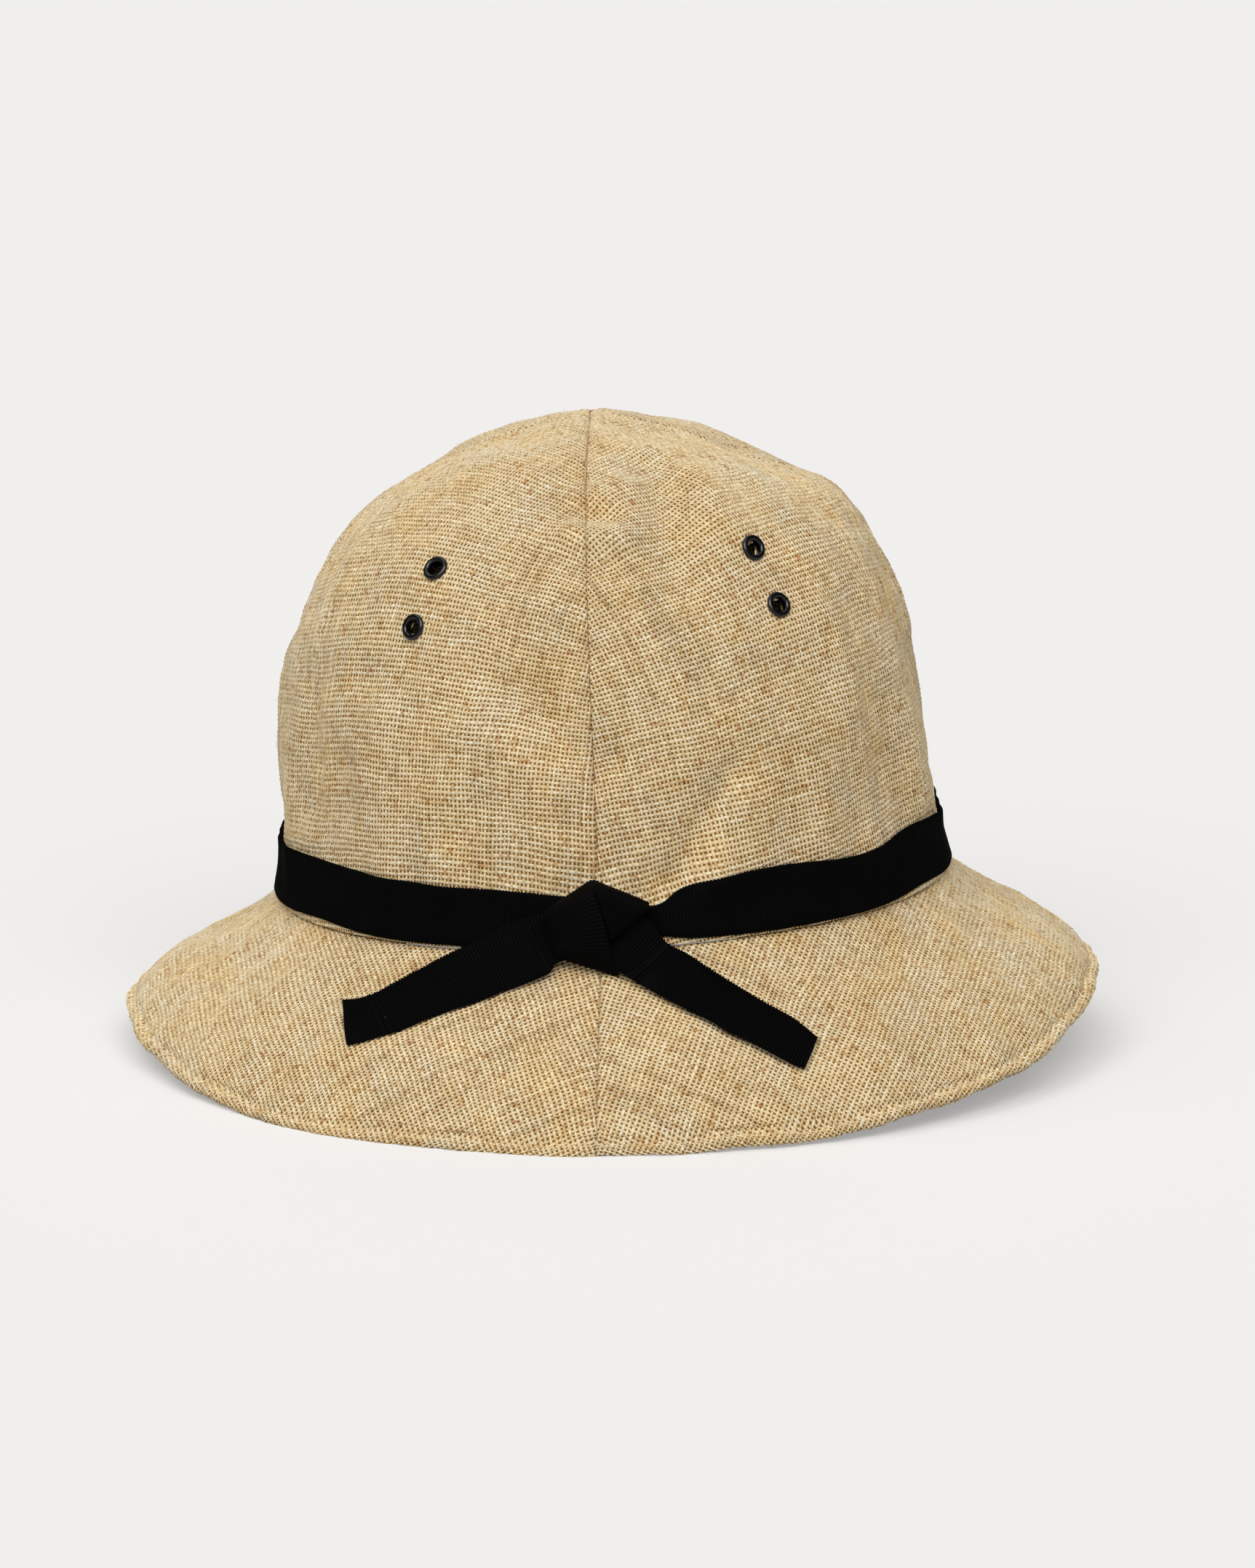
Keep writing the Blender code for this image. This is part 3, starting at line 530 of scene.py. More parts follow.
def add_piece(name, points, faces, material, flat=None, replaced=(), slot=None, sharp=65):
    """A mesh piece from points in millimetres and a list of arrays of faces. flat gives each
    point's place on the flat cut, for the UV map "threads". Its faces are turned outwards."""
    volume = 0
    for part in faces:
        corner = np.moveaxis(points[part], 1, 0)
        for i in range(1, len(corner) - 1):
            volume += np.sum(corner[0] * np.cross(corner[i], corner[i + 1]))
    if volume < 0:
        faces = [part[:, ::-1] for part in faces]
    corners = np.concatenate([part.ravel() for part in faces])
    sizes = np.concatenate([np.full(len(part), part.shape[1]) for part in faces])
    mesh = bpy.data.meshes.new(name)
    mesh.vertices.add(len(points))
    mesh.vertices.foreach_set("co", (points * 0.001).astype(np.float32).ravel())
    mesh.loops.add(len(corners))
    mesh.loops.foreach_set("vertex_index", corners.astype(np.int32))
    mesh.polygons.add(len(sizes))
    mesh.polygons.foreach_set("loop_start", (np.cumsum(sizes) - sizes).astype(np.int32))
    mesh.update(calc_edges=True)
    if flat is not None:
        layer = mesh.uv_layers.new(name="threads")
        layer.uv.foreach_set("vector", flat[corners].astype(np.float32).ravel())
    mesh.validate()
    mesh.shade_smooth()
    mesh.set_sharp_from_angle(angle=np.radians(sharp))
    mesh.materials.append(material)
    piece = bpy.data.objects.new(name, mesh)
    bpy.context.scene.collection.objects.link(piece)
    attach(piece, "root")
    if replaced:
        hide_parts(*replaced)
    return piece


def grid_faces(n, m, closed_n=False, closed_m=False, start=0):
    """Quads of an n by m grid of points, numbered row by row from start, closed round on either side."""
    i = np.arange(n if closed_n else n - 1)[:, None]
    j = np.arange(m if closed_m else m - 1)[None, :]
    after_i, after_j = (i + 1) % n, (j + 1) % m
    corners = [i * m + j, after_i * m + j, after_i * m + after_j, i * m + after_j]
    return start + np.stack(np.broadcast_arrays(*corners), -1).reshape(-1, 4)


def border_of(n, m):
    """Numbers of the points round the border of an n by m grid, in order."""
    index = np.arange(n * m).reshape(n, m)
    return np.concatenate([index[:-1, 0], index[-1, :-1], index[:0:-1, -1], index[0, :0:-1]])


def wall(name, outer, inner, flat, **options):
    """A closed wall of cloth between two grids of points, joined round its border. flat is the
    place of each point of the grid on the flat cut."""
    n, m = outer.shape[:2]
    ring = border_of(n, m)
    after = np.roll(ring, -1)
    border = np.stack([ring + n * m, after + n * m, after, ring], -1)
    faces = [grid_faces(n, m), grid_faces(n, m)[:, ::-1] + n * m, border]
    points = np.concatenate([outer.reshape(-1, 3), inner.reshape(-1, 3)])
    return add_piece(name, points, faces, flat=np.tile(flat.reshape(-1, 2), (2, 1)), **options)


def stitched(first, first_way, second, second_way):
    """Triangles between two closed rings of points, each with its way round from 0 to 4: every
    step along one ring is joined to the point of the other that has come as far."""
    first = first[np.argsort(first_way, kind="stable")]
    second = second[np.argsort(second_way, kind="stable")]
    first_next = np.append(np.sort(first_way)[1:], np.min(first_way) + 4)
    second_next = np.append(np.sort(second_way)[1:], np.min(second_way) + 4)
    of_second = np.searchsorted(second_next, first_next, side="left") % len(second)
    of_first = np.searchsorted(first_next, second_next, side="right") % len(first)
    return np.concatenate([np.stack([second[of_second], np.roll(first, -1), first], -1),
                           np.stack([second, np.roll(second, -1), first[of_first]], -1)])


def way_round(share, along):
    """How far round the border of a unit square a point on it is, from 0 to 4."""
    return np.select([along <= 0, share >= 1, along >= 1], [share, 1 + along, 3 - share], 4 - along)


def lay_border(lay):
    """Lowest and highest corner of a piece's flat cut."""
    share, along = np.meshgrid(np.linspace(0, 1, 41), np.linspace(0, 1, 41), indexing="ij")
    cut = lay(share, along).reshape(-1, 2)
    return cut.min(0), cut.max(0)


# The weave's relief, in mm off the cloth's face: where a warp or a weft thread crosses on top, on
# each of them between two crossings, and in the open space. The warp is tighter and stands proud
WARP_OVER, WEFT_OVER, WARP_BETWEEN, WEFT_BETWEEN, SPACE = 0.16, 0.10, -0.04, -0.13, -0.48
# How much one thread's thickness differs from the next's, and how deep the border is turned in
THREAD_UNEVEN, BORDER_OFF = 0.035, -0.40


def wander(flat):
    """How far the threads stray at a place on the flat cut: up to half a pitch, and neighbours
    together."""
    flat = np.concatenate([flat, np.zeros(flat.shape[:-1] + (1,))], -1)
    return np.stack([ripple(flat, 21, 45, 8, 0.34), ripple(flat, 22, 45, 8, 0.34)], -1)


def weave_height(i, j, chance):
    """Height of the lattice's points off the face. Odd columns run along warp threads and odd rows
    along weft threads, and at every other crossing the warp is on top. Each thread is a little
    thicker or thinner than the next."""
    warp, weft = i % 2 == 1, j % 2 == 1
    warp_over = warp & weft & ((i // 2 + j // 2) % 2 == 0)
    height = np.select([warp_over, warp & weft, warp, weft],
                       [WARP_OVER, WEFT_OVER, WARP_BETWEEN, WEFT_BETWEEN], SPACE)
    warp_thick = chance.normal(0, THREAD_UNEVEN, (len(i), 1))
    weft_thick = chance.normal(0, THREAD_UNEVEN, (1, i.shape[1]))
    return height + warp_thick * warp + weft_thick * weft


def pierced(points, quads, holes, face):
    """The round holes of a face, 0 the outer and 1 the inner: points inside a hole are drawn out to
    its rim. Gives the points, the quads that are left, and each rim with its points' way round."""
    hits = []
    for centres in holes:
        away = np.linalg.norm(points - centres[face], axis=-1)
        hits.append(away < PUNCHED_RADIUS)
        drawn = centres[face] + (points - centres[face]) * (PUNCHED_RADIUS / np.maximum(away, 0.1))[:, None]
        points = np.where(hits[-1][:, None], drawn, points)
    quads = quads[~np.any(hits, axis=0)[quads].all(1)] if hits else quads
    rims = []
    for hit, centres in zip(hits, holes):
        rim = np.intersect1d(quads, np.flatnonzero(hit))
        seat = Vector(centres[0] - centres[1]).to_track_quat("Z", "Y").to_matrix()
        turned = (points[rim] - centres[face]) @ np.array(seat)
        rims.append((rim, -np.arctan2(turned[:, 1], turned[:, 0]) * 2 / np.pi % 4))
    return points, quads, rims


def woven(name, unlay, lay, place, backing, holes, rests_on, **options):
    """A piece of cloth whose outer face is made of its threads.

    The flat cut is a lattice with points on each thread and between threads, where the height
    off the face is that of a crossing, a thread or a space. unlay takes the flat cut to shares of
    the piece's two ways, 0 to 1 inside it, and lay takes them back. Points of the lattice just
    outside the piece are drawn to its border, and those inside a round hole to the hole's rim.
    place(share, along, off) is the cloth off mm proud of its face. backing is the inner face: its
    points, its places on the flat cut and its two shares, on a grid whose border the lattice is
    stitched to. holes are pairs of a hole's centre on the outer and on the inner face.
    """
    half = np.array([WARP_PITCH, WEFT_PITCH]) / 2
    low, high = lay_border(lay)
    first, last = np.floor((low - 3) / half).astype(int), np.ceil((high + 3) / half).astype(int)
    i, j = np.meshgrid(np.arange(first[0], last[0] + 1), np.arange(first[1], last[1] + 1), indexing="ij")
    threads = np.stack([i, j], -1) * half
    share, along = unlay(threads + wander(threads))
    within = (share > 0) & (share < 1) & (along > 0) & (along < 1)
    share, along = np.clip(share, 0, 1), np.clip(along, 0, 1)
    height = weave_height(i, j, np.random.default_rng(len(name)))
    # Round a hole the threads are pressed flat and a little down
    smooth_face = place(share, along, 0.0)
    for centre, _ in holes:
        away = np.linalg.norm(smooth_face - centre, axis=-1) - PUNCHED_RADIUS
        height = height * smooth((away - 0.6) / 1.6) - 0.12 * (1 - smooth((away - 1.2) / 2.5))
    face = place(share, along, np.where(within, height, BORDER_OFF))
    threads = np.where(within[..., None], threads, lay(share, along) - wander(lay(share, along)))

    quads = grid_faces(*i.shape)
    quads = quads[within.ravel()[quads].any(1)]
    outer, quads, outer_rims = pierced(face.reshape(-1, 3), quads, holes, 0)
    border = np.setdiff1d(quads, np.flatnonzero(within))
    inner, inner_flat, inner_share, inner_along = backing
    ring = border_of(*inner_share.shape)
    inner, back, inner_rims = pierced(inner.reshape(-1, 3), grid_faces(*inner_share.shape)[:, ::-1], holes, 1)
    # The two faces are stitched together round the border and round each hole
    outer_rims.insert(0, (border, way_round(share, along).ravel()[border]))
    inner_rims.insert(0, (ring, way_round(inner_share, inner_along).ravel()[ring]))
    joins = [stitched(rim, way, inner_rim + len(outer), inner_way)
             for (rim, way), (inner_rim, inner_way) in zip(outer_rims, inner_rims)]
    faces = [quads, back + len(outer), *joins]
    used = np.unique(np.concatenate([part.ravel() for part in faces]))
    points = np.concatenate([outer, inner])[used]
    flat = np.concatenate([threads.reshape(-1, 2), inner_flat.reshape(-1, 2)])[used]
    piece = add_piece(name, points, [np.searchsorted(used, part) for part in faces], flat=flat, **options)
    # Corners that the stitches leave open are closed
    mesh = bmesh.new()
    mesh.from_mesh(piece.data)
    bmesh.ops.holes_fill(mesh, edges=[edge for edge in mesh.edges if edge.is_boundary], sides=0)
    mesh.to_mesh(piece.data)
    mesh.free()
    within.sum() * half.prod() * 1e-6
    return piece


# The crown

def arc_of_meridian(along):
    """Distance from the joint along the meridian, its horizontal radius in mm, and how fast that
    radius grows with the distance."""
    steps = np.linspace(-0.04, 1, 625)
    reach, rise = meridian(steps)
    radius = reach * CROWN_MEAN_RADIUS
    run = np.concatenate([[0], np.cumsum(np.hypot(np.diff(radius), np.diff(rise * CROWN_HEIGHT)))])
    run -= np.interp(0, steps, run)
    return [np.interp(along, steps, values) for values in (run, radius, np.gradient(radius, run))]


# How far each gore was cut off the grain, in degrees, and how strongly its cross threads droop
# towards the near seam
GRAIN = {
    "near_right": (7.0, 0.0), "far_right": (-2.0, 0.0), "far_left": (3.0, 0.0), "near_left": (-1.0, 0.19),
}


def polyconic(turn, along):
    """Flat place of a point turned so far, in degrees, from a gore's middle line: each level line
    of the crown is laid out as an arc of its own length, whose radius is that of the cone that
    touches the crown there, and which crosses the middle line at its distance up from the joint."""
    run, radius, slope = arc_of_meridian(along)
    slope = np.minimum(slope, -0.02)
    slant = radius / -slope
    angle = np.radians(turn) * -slope
    return np.stack([slant * np.sin(angle), run + slant * (1 - np.cos(angle))], -1)


def off_grain(flat, degrees):
    """A place on the flat cut once it is turned clockwise by so many degrees."""
    turn = np.radians(degrees)
    x, y = np.moveaxis(flat, -1, 0)
    return np.stack([x * np.cos(turn) + y * np.sin(turn), y * np.cos(turn) - x * np.sin(turn)], -1)


def droop(side, across):
    """What a gore's cross threads add to their height on the flat cut, so far across from its
    middle: a parabola, which runs straight on past 20 mm to the left."""
    return GRAIN[side][1] * (np.maximum(across, -20) ** 2 / 146 - across * 0.45)


def gore_threads(side, turn, along):
    """Place of a point on a gore's flat cut: its polyconic place, with the cross threads' droop,
    turned off the grain."""
    across, up = np.moveaxis(polyconic(turn, along), -1, 0)
    return off_grain(np.stack([across, up + droop(side, across)], -1), GRAIN[side][0])


def gore_place(side, flat):
    """The way back from a gore's flat cut to turn and along, by Newton's method from a first
    guess that takes the tip as the pole of the flat cut. Places that it can't reach, outside the
    gore, get a turn past its seams."""
    across, up = np.moveaxis(off_grain(flat, -GRAIN[side][0]), -1, 0)
    up = up - droop(side, across)
    steps = np.linspace(-0.04, 0.9995, 600)
    run, radius, _ = arc_of_meridian(steps)
    whole = arc_of_meridian(np.ones(1))[0][0]
    near_tip = smooth((up - whole + 60) / 30)
    along = np.interp(up * (1 - near_tip) + (whole - np.hypot(across, whole - up)) * near_tip, run, steps)
    wide = np.degrees(across / np.interp(along, steps, radius))
    polar = np.degrees(np.arctan2(across, np.maximum(whole - up, 0.01)))
    turn = np.clip(wide * (1 - near_tip) + polar * near_tip, -80, 80)
    target = np.stack([across, up], -1)
    for _ in range(14):
        now = polyconic(turn, along)
        by_turn = (polyconic(turn + 0.02, along) - now) / 0.02
        by_along = (polyconic(turn, along + 0.0004) - now) / 0.0004
        error = target - now
        area = by_turn[..., 0] * by_along[..., 1] - by_turn[..., 1] * by_along[..., 0]
        area = np.where(np.abs(area) < 1e-3, 1e-3, area)
        turn_step = (error[..., 0] * by_along[..., 1] - error[..., 1] * by_along[..., 0]) / area
        along_step = (error[..., 1] * by_turn[..., 0] - error[..., 0] * by_turn[..., 1]) / area
        turn = np.clip(turn + np.clip(turn_step, -15, 15), -85, 85)
        along = np.clip(along + np.clip(along_step, -0.08, 0.08), -0.035, 0.999)
    missed = np.linalg.norm(target - polyconic(turn, along), axis=-1) > 0.3
    return np.where(missed, np.sign(across) * 85, turn), along


def crown_panel(side, start, material):
    """A gore from one seam to the next, half a gap clear of both, pierced for its eyelets."""
    last = np.linspace(0.9, 1, 401)
    tip = np.interp(-TIP_RADIUS / CROWN_HALF_WIDTH, -meridian(last)[0], last)

    def turn_at(share, along):
        """Degrees from the gore's middle line at a share of its width."""
        half_width = 45 - np.degrees(SEAM_GAP / 2 / (meridian(along)[0] * CROWN_HALF_WIDTH))
        return (share - 0.5) * 2 * half_width

    def unlay(flat):
        turn, along = gore_place(side, flat)
        return 0.5 + turn / 2 / turn_at(1.0, np.clip(along, 0, tip)), along / tip

    def lay(share, along):
        return gore_threads(side, turn_at(share, along * tip), along * tip)

    def place(share, along, off):
        return crown(start + 45 + turn_at(share, along * tip), along * tip, off)

    share, along = np.meshgrid(np.linspace(0, 1, 61), np.linspace(0, 1, 81), indexing="ij")
    backing = place(share, along, -CROWN_CLOTH), lay(share, along), share, along
    seats = [np.array(eyelet_seat(*at)) for eyelet, at in EYELETS.items() if eyelet.startswith(side)]
    holes = [(seat[:3, 3] * 1000, seat[:3, 3] * 1000 - seat[:3, 2] * CROWN_CLOTH) for seat in seats]
    return woven(f"crown_panel_{side}_cloth", unlay, lay, place, backing, holes, ["brim_left", "brim_right"],
                 material=material, replaced=[f"crown_panel_{side}"], slot="cloth")


def eyelet_seat(azimuth, rise):
    """Matrix of an eyelet's seat, in metres: +Z out of the cloth, origin on its outer face, at the
    mean height of four places under the ring or that of their middle, whichever is higher."""
    offsets = np.array([(0, 0), (1.6, 0), (-1.6, 0), (0, 0.017), (0, -0.017)])
    middle, east, west, high, low = crown(azimuth + offsets[:, 0], along_at(rise) + offsets[:, 1])
    normal = unit(np.cross(east - west, high - low))
    ring = (east + west + high + low) / 4
    point = ring + max((middle - ring) @ normal, 0) * normal
    return Matrix.Translation(point * 0.001) @ Vector(normal).to_track_quat("Z", "Y").to_matrix().to_4x4()


# The brim

# The flat cut of a half is this share of a half ring, as on a cone of the brim's slope
CONE = 0.80

# Lumps of the rolled edge: share of its thickness, waves round the hat, and how far and how often
# those waves stray
LUMPS = ((0.10, 23, 1.3, 7), (0.06, 61, 1, 13), (0.07, 193, 3, 31), (0.06, 389, 2, 77))


def brim_half(side, start, material):
    """Half of the brim from the seam at azimuth start. Its woven face goes down into the groove
    beside the rolled edge and round the edge, whose thickness and overhang vary a little as
    turned cloth's do; the under face is one plain sheet."""
    margin = np.degrees(SEAM_GAP / 2 / CROWN_HALF_WIDTH)
    # Section of the edge, as (past the rim's middle, across) in mm: groove, roll, and back
    groove = [(-4.3, 1.10), (-3.6, 1.06), (-3.0, 0.88), (-2.5, 0.62), (-2.1, 0.46), (-1.72, 0.52)]
    turns = np.radians([146, 122, 98, 74, 50, 26, 0])
    roll = [(RIM_RADIUS * np.cos(turn), RIM_RADIUS * np.sin(turn)) for turn in turns]
    section = np.array(groove + roll + [(out, -across) for out, across in (groove + roll[:-1])[::-1]])
    around = np.concatenate([[0], np.cumsum(np.linalg.norm(np.diff(section, axis=0), axis=-1))])
    # The woven face ends just past the roll's lowest point, and the groove starts welt from the rim
    last = len(groove + roll) + 3
    welt, turned, whole = 4.3, around[last], around[-1]

    def azimuth_at(share):
        return start + margin + share * (180 - 2 * margin)

    def face(azimuth, run, off):
        """The cloth's outer face at run mm past the start of the groove, off mm proud of it."""
        turn, length = np.radians(azimuth), brim_length(azimuth)
        past, across = np.moveaxis(spline(around, section, np.clip(run, 0, whole)), -1, 0)
        middle = np.clip(run, 0.05, whole - 0.05)
        ahead = unit(spline(around, section, middle + 0.05) - spline(around, section, middle - 0.05))
        fat = sum(share * np.sin(turn * waves + stray * np.sin(turn * often))
                  for share, waves, stray, often in LUMPS)
        sway = 0.35 * np.sin(turn * 17 + 2 * np.sin(turn * 5 + 1))
        swelling = smooth((past + 3.9) / 1.5)
        past = past * (1 + fat * swelling) + sway * swelling - off * ahead[..., 1] + np.minimum(run, 0)
        across = across * (1 + fat * swelling) + off * ahead[..., 0]
        return brim(azimuth, 1 + np.minimum(past, 0) / length, np.maximum(past, 0), across)

    # Flat cut: the half ring's own cone, with the middle of its side on the vertical thread
    def fan(azimuth, out):
        slant, angle = CROWN_HALF_DEPTH / CONE + out, CONE * np.radians(azimuth - start - 90)
        return np.stack([slant * np.sin(angle), -slant * np.cos(angle)], -1)

    def lay(share, along):
        azimuth = azimuth_at(share)
        return fan(azimuth, (1 - along) * (brim_length(azimuth) - welt + turned))

    def unlay(flat):
        azimuth = start + 90 + np.degrees(np.arctan2(flat[..., 0], -flat[..., 1])) / CONE
        out = np.linalg.norm(flat, axis=-1) - CROWN_HALF_DEPTH / CONE
        share = (azimuth - start - margin) / (180 - 2 * margin)
        return share, 1 - out / (brim_length(np.clip(azimuth, start, start + 180)) - welt + turned)

    def place(share, along, off):
        azimuth = azimuth_at(share)
        to_groove = brim_length(azimuth) - welt
        return face(azimuth, (1 - along) * (to_groove + turned) - to_groove, off)

    # The under face, from where the roll has turned under it back to the joint
    under = np.linspace(0, 1, 28)[1:]
    by_seam = np.array([0, 0.0015, 0.004, 0.008])
    share = np.concatenate([by_seam, np.linspace(0.014, 0.986, 300), 1 - by_seam[::-1]])[:, None]
    azimuth = azimuth_at(share)
    to_groove = brim_length(azimuth) - welt
    rest = around[last:]
    edge = face(azimuth, rest + 0 * azimuth, 0.0)
    below = brim(azimuth, (1 - under) * to_groove / (to_groove + welt), across=-BRIM_CLOTH / 2)
    out = np.concatenate([to_groove + rest, to_groove + whole + to_groove * under], 1)
    share, along = np.broadcast_arrays(share, np.concatenate([np.linspace(0, 0.0005, len(rest)), under]))
    backing = np.concatenate([edge, below], 1), fan(azimuth, out), share, along
    return woven(f"brim_{side}_cloth", unlay, lay, place, backing, [], [f"crown_panel_near_{side}"],
                 material=material, replaced=[f"brim_{side}"], slot="cloth")


# The ribbon

# Hatband by angle round from the near seam: its lower edge above the joint, its width, and how
# far its upper edge stands off the crown, in mm
BAND = table("turn foot width stand", [
    (0, 2.4, 8.6, 0.3), (7, 2.4, 8.0, 0.6), (10.2, 2.2, 8.5, 0.9), (12.2, 1.7, 10.8, 0.7),
    (14.5, 1.2, 12.9, 0.4), (19, 0.9, 14.6, 0.4), (27, 0.6, 16.1, 0.5), (40, 0.5, 15.4, 0.8),
    (51, 0.5, 14.9, 1.0), (58, 1.2, 16.0, 1.6), (65, 1.9, 16.4, 1.5), (76, 1.3, 16.3, 0.9),
    (90, 1.0, 16.3, 0.6), (120, 0.7, 16.2, 0.4), (180, 0.5, 16.2, 0.4), (240, 0.6, 16.2, 0.4),
    (276, 0.9, 16.2, 0.6), (295, 1.5, 16.0, 1.2), (305, 2.1, 15.5, 1.5), (315, 1.1, 15.7, 0.8),
    (335, 0.5, 15.0, 0.5), (347, 0.6, 14.1, 0.4), (354, 1.2, 12.4, 0.3), (360, 2.0, 11.0, 0.0),
])

# Free ends of the ribbon, from inside the knot outwards. Each row is a line across the ribbon, by
# the place on the bed of its upper and lower edge and how far each stands off it, in mm
TAIL_LEFT = table("upper_across upper_up lower_across lower_up upper_off lower_off", [
    (-6.0, 10.0, -3.0, -2.0, 3.4, 3.2), (-15.2, 8.9, -10.8, -4.4, 2.4, 2.4),
    (-19.75, 8.1, -13.0, -7.2, 1.9, 2.0), (-24.2, 6.9, -17.2, -9.7, 1.9, 1.6),
    (-32.2, 1.85, -26.0, -13.3, 1.8, 0.9), (-45.2, -4.7, -36.9, -17.9, 1.2, 0.6),
    (-57.6, -12.1, -48.3, -23.4, 0.7, 0.6), (-64.8, -17.0, -56.9, -28.1, 0.5, 0.5),
    (-74.3, -20.2, -69.5, -33.4, 0.9, 0.6),
])
TAIL_RIGHT = table("upper_across upper_up lower_across lower_up upper_off lower_off", [
    (2.0, 12.5, -5.0, 1.0, 4.6, 4.4), (10.7, 7.9, 0.0, -5.0, 4.1, 4.0),
    (14.3, 4.25, 4.0, -7.8, 3.1, 3.1), (17.05, -0.1, 7.9, -10.2, 2.1, 2.3),
    (22.8, -3.7, 15.4, -15.6, 1.6, 1.8), (32.0, -10.7, 24.9, -22.3, 0.8, 1.8),
    (42.1, -18.2, 35.7, -29.2, 0.6, 1.9), (52.2, -25.8, 45.8, -35.9, 0.6, 1.7),
    (58.9, -32.7, 54.9, -40.7, 0.7, 1.0),
])

# The crown's wall behind the knot, from the hat's middle, the plane in front of it that the knot's
# heights are given on, and how much higher that plane looks for each mm further away
KNOT_WALL, KNOT_PLANE, VIEW_SLOPE = 95.0, 6.0, 0.18

# Faces of the knot. Each row is a line across the ribbon, by the place of its first and its
# second edge: distance right of the near seam, height above the table, and depth in front of
# the crown's wall, in mm
KNOT = {
    "front": table("x1 z1 d1 x2 z2 d2", [
        (-10.0, 57.2, 2.2, 0.2, 62.6, 2.6), (-12.8, 56.0, 4.2, -0.9, 62.2, 5.6),
        (-13.9, 54.4, 5.4, -1.0, 60.7, 7.2), (-13.3, 51.5, 5.6, 0.6, 56.0, 8.0),
        (-12.5, 48.6, 5.5, 2.2, 50.5, 8.2), (-11.7, 46.3, 5.2, 3.2, 45.4, 7.6),
        (-10.9, 44.6, 4.2, 4.7, 40.5, 5.8), (-10.0, 45.0, 2.8, 4.9, 40.2, 3.8),
        (-8.8, 46.2, 1.8, 4.0, 42.2, 2.4),
    ]),
    "side": table("x1 z1 d1 x2 z2 d2", [
        (-4.5, 61.6, 4.2, -1.0, 48.6, 4.8), (-0.6, 62.0, 6.0, 3.2, 48.7, 6.3),
        (3.6, 60.8, 5.4, 6.6, 51.3, 5.9), (8.0, 59.3, 4.2, 9.6, 54.0, 5.0),
        (11.6, 57.9, 3.0, 11.9, 56.0, 3.7), (13.8, 57.0, 1.6, 13.4, 56.1, 2.0),
    ]),
    "top": table("x1 z1 d1 x2 z2 d2", [
        (-14.2, 54.0, 4.2, -13.4, 55.6, 1.2), (-11.5, 55.7, 4.6, -11.0, 57.7, 1.0),
        (-8.0, 57.5, 5.0, -8.3, 59.7, 0.8), (-4.2, 59.9, 5.6, -4.2, 62.5, 0.7),
        (-1.4, 61.3, 6.2, -1.6, 63.9, 0.8), (1.2, 60.9, 5.8, 1.0, 62.9, 0.8),
        (5.0, 60.1, 4.8, 5.0, 61.3, 0.8), (9.0, 58.8, 3.8, 9.0, 59.6, 0.9),
        (12.6, 57.3, 2.2, 12.6, 58.1, 1.0),
    ]),
}


def columns_at(rows, share):
    """The columns of a table whose rows are evenly spaced along a piece, each read on a spline."""
    columns = np.stack([rows[column] for column in rows.dtype.names], -1)
    return np.moveaxis(spline(np.linspace(0, 1, len(rows)), columns, share), -1, 0)


def ribbon(name, place, held, rests_on, **options):
    """A strip of grosgrain on the face place(share, over), where share is the part of the way along
    its length and over that across it. Ribs RIB_PITCH apart cross it, each a half turn of a sine,
    and its edges are scalloped with them."""
    trial = np.linspace(0, 1, 600)
    run = np.linalg.norm(np.diff(place(trial, np.full(600, 0.5)), axis=0), axis=-1)
    run = np.concatenate([[0], np.cumsum(run)])
    ribs = int(round(run[-1] / RIB_PITCH))
    along = np.linspace(0, run[-1], ribs * 4 + 1)
    rib = np.abs(np.sin(np.pi * ribs * along / run[-1]))[:, None]
    rows = [0, 0.012, 0.045, 0.20, 0.50, 0.80, 0.955, 0.988, 1]
    share, over = np.meshgrid(np.interp(along, run, trial), rows, indexing="ij")
    back = place(share, 0.5 + (over - 0.5) * (1 + RIB_SCALLOP * (rib - 0.5) / RIBBON_WIDTH))
    width = np.linalg.norm(np.diff(back, axis=1), axis=-1).sum(1)[:, None]
    normal = unit(np.cross(np.gradient(back, axis=0), np.gradient(back, axis=1)))
    # The normal at the ribbon's middle tells which of its faces is turned away from the crown
    middle = len(along) // 2, len(rows) // 2
    normal *= np.sign(normal[middle] @ (back[middle] * (1, 1, 0)))
    inset = smooth(np.minimum(over, 1 - over) * width / 0.5)
    front = back + normal * ((RIBBON_THICKNESS + RIB_HEIGHT * rib) * (0.5 + 0.5 * inset))[..., None]
    back = back - normal * (0.5 * RIB_HEIGHT * rib * inset)[..., None]
    flat = np.stack([np.broadcast_to(along[:, None], over.shape), over * width], -1)
    piece = wall(name, front, back, flat, slot="grosgrain", **options)
    # The flat width is the widest that the ribbon gets. No sheet is declared under 10 mm wide
    return piece


def hatband(material):
    """Ribbon round the foot of the crown, its ends meeting behind the knot, its edges a little wavy."""
    def place(share, over):
        turn = 0.15 + share * 359.7
        foot, width, stand = (spline(BAND["turn"], BAND[key], turn) for key in ("foot", "width", "stand"))
        upper_wave = 0.16 * np.sin(turn / 3.1 + 2 * np.sin(turn / 11))
        lower_wave = 0.12 * np.sin(turn / 2.3 + 1.0)
        off = GAP + stand * over**2 + 0.6 * np.abs(upper_wave * over + lower_wave * (1 - over))
        return crown(NEAR + turn, along_at((foot + over * width) / CROWN_HEIGHT), off, seams=0.0)
    near_gores = ["crown_panel_near_left", "crown_panel_near_right"]
    return ribbon("hatband_grosgrain", place, "stretched", near_gores,
                  material=material, replaced=["hatband"])


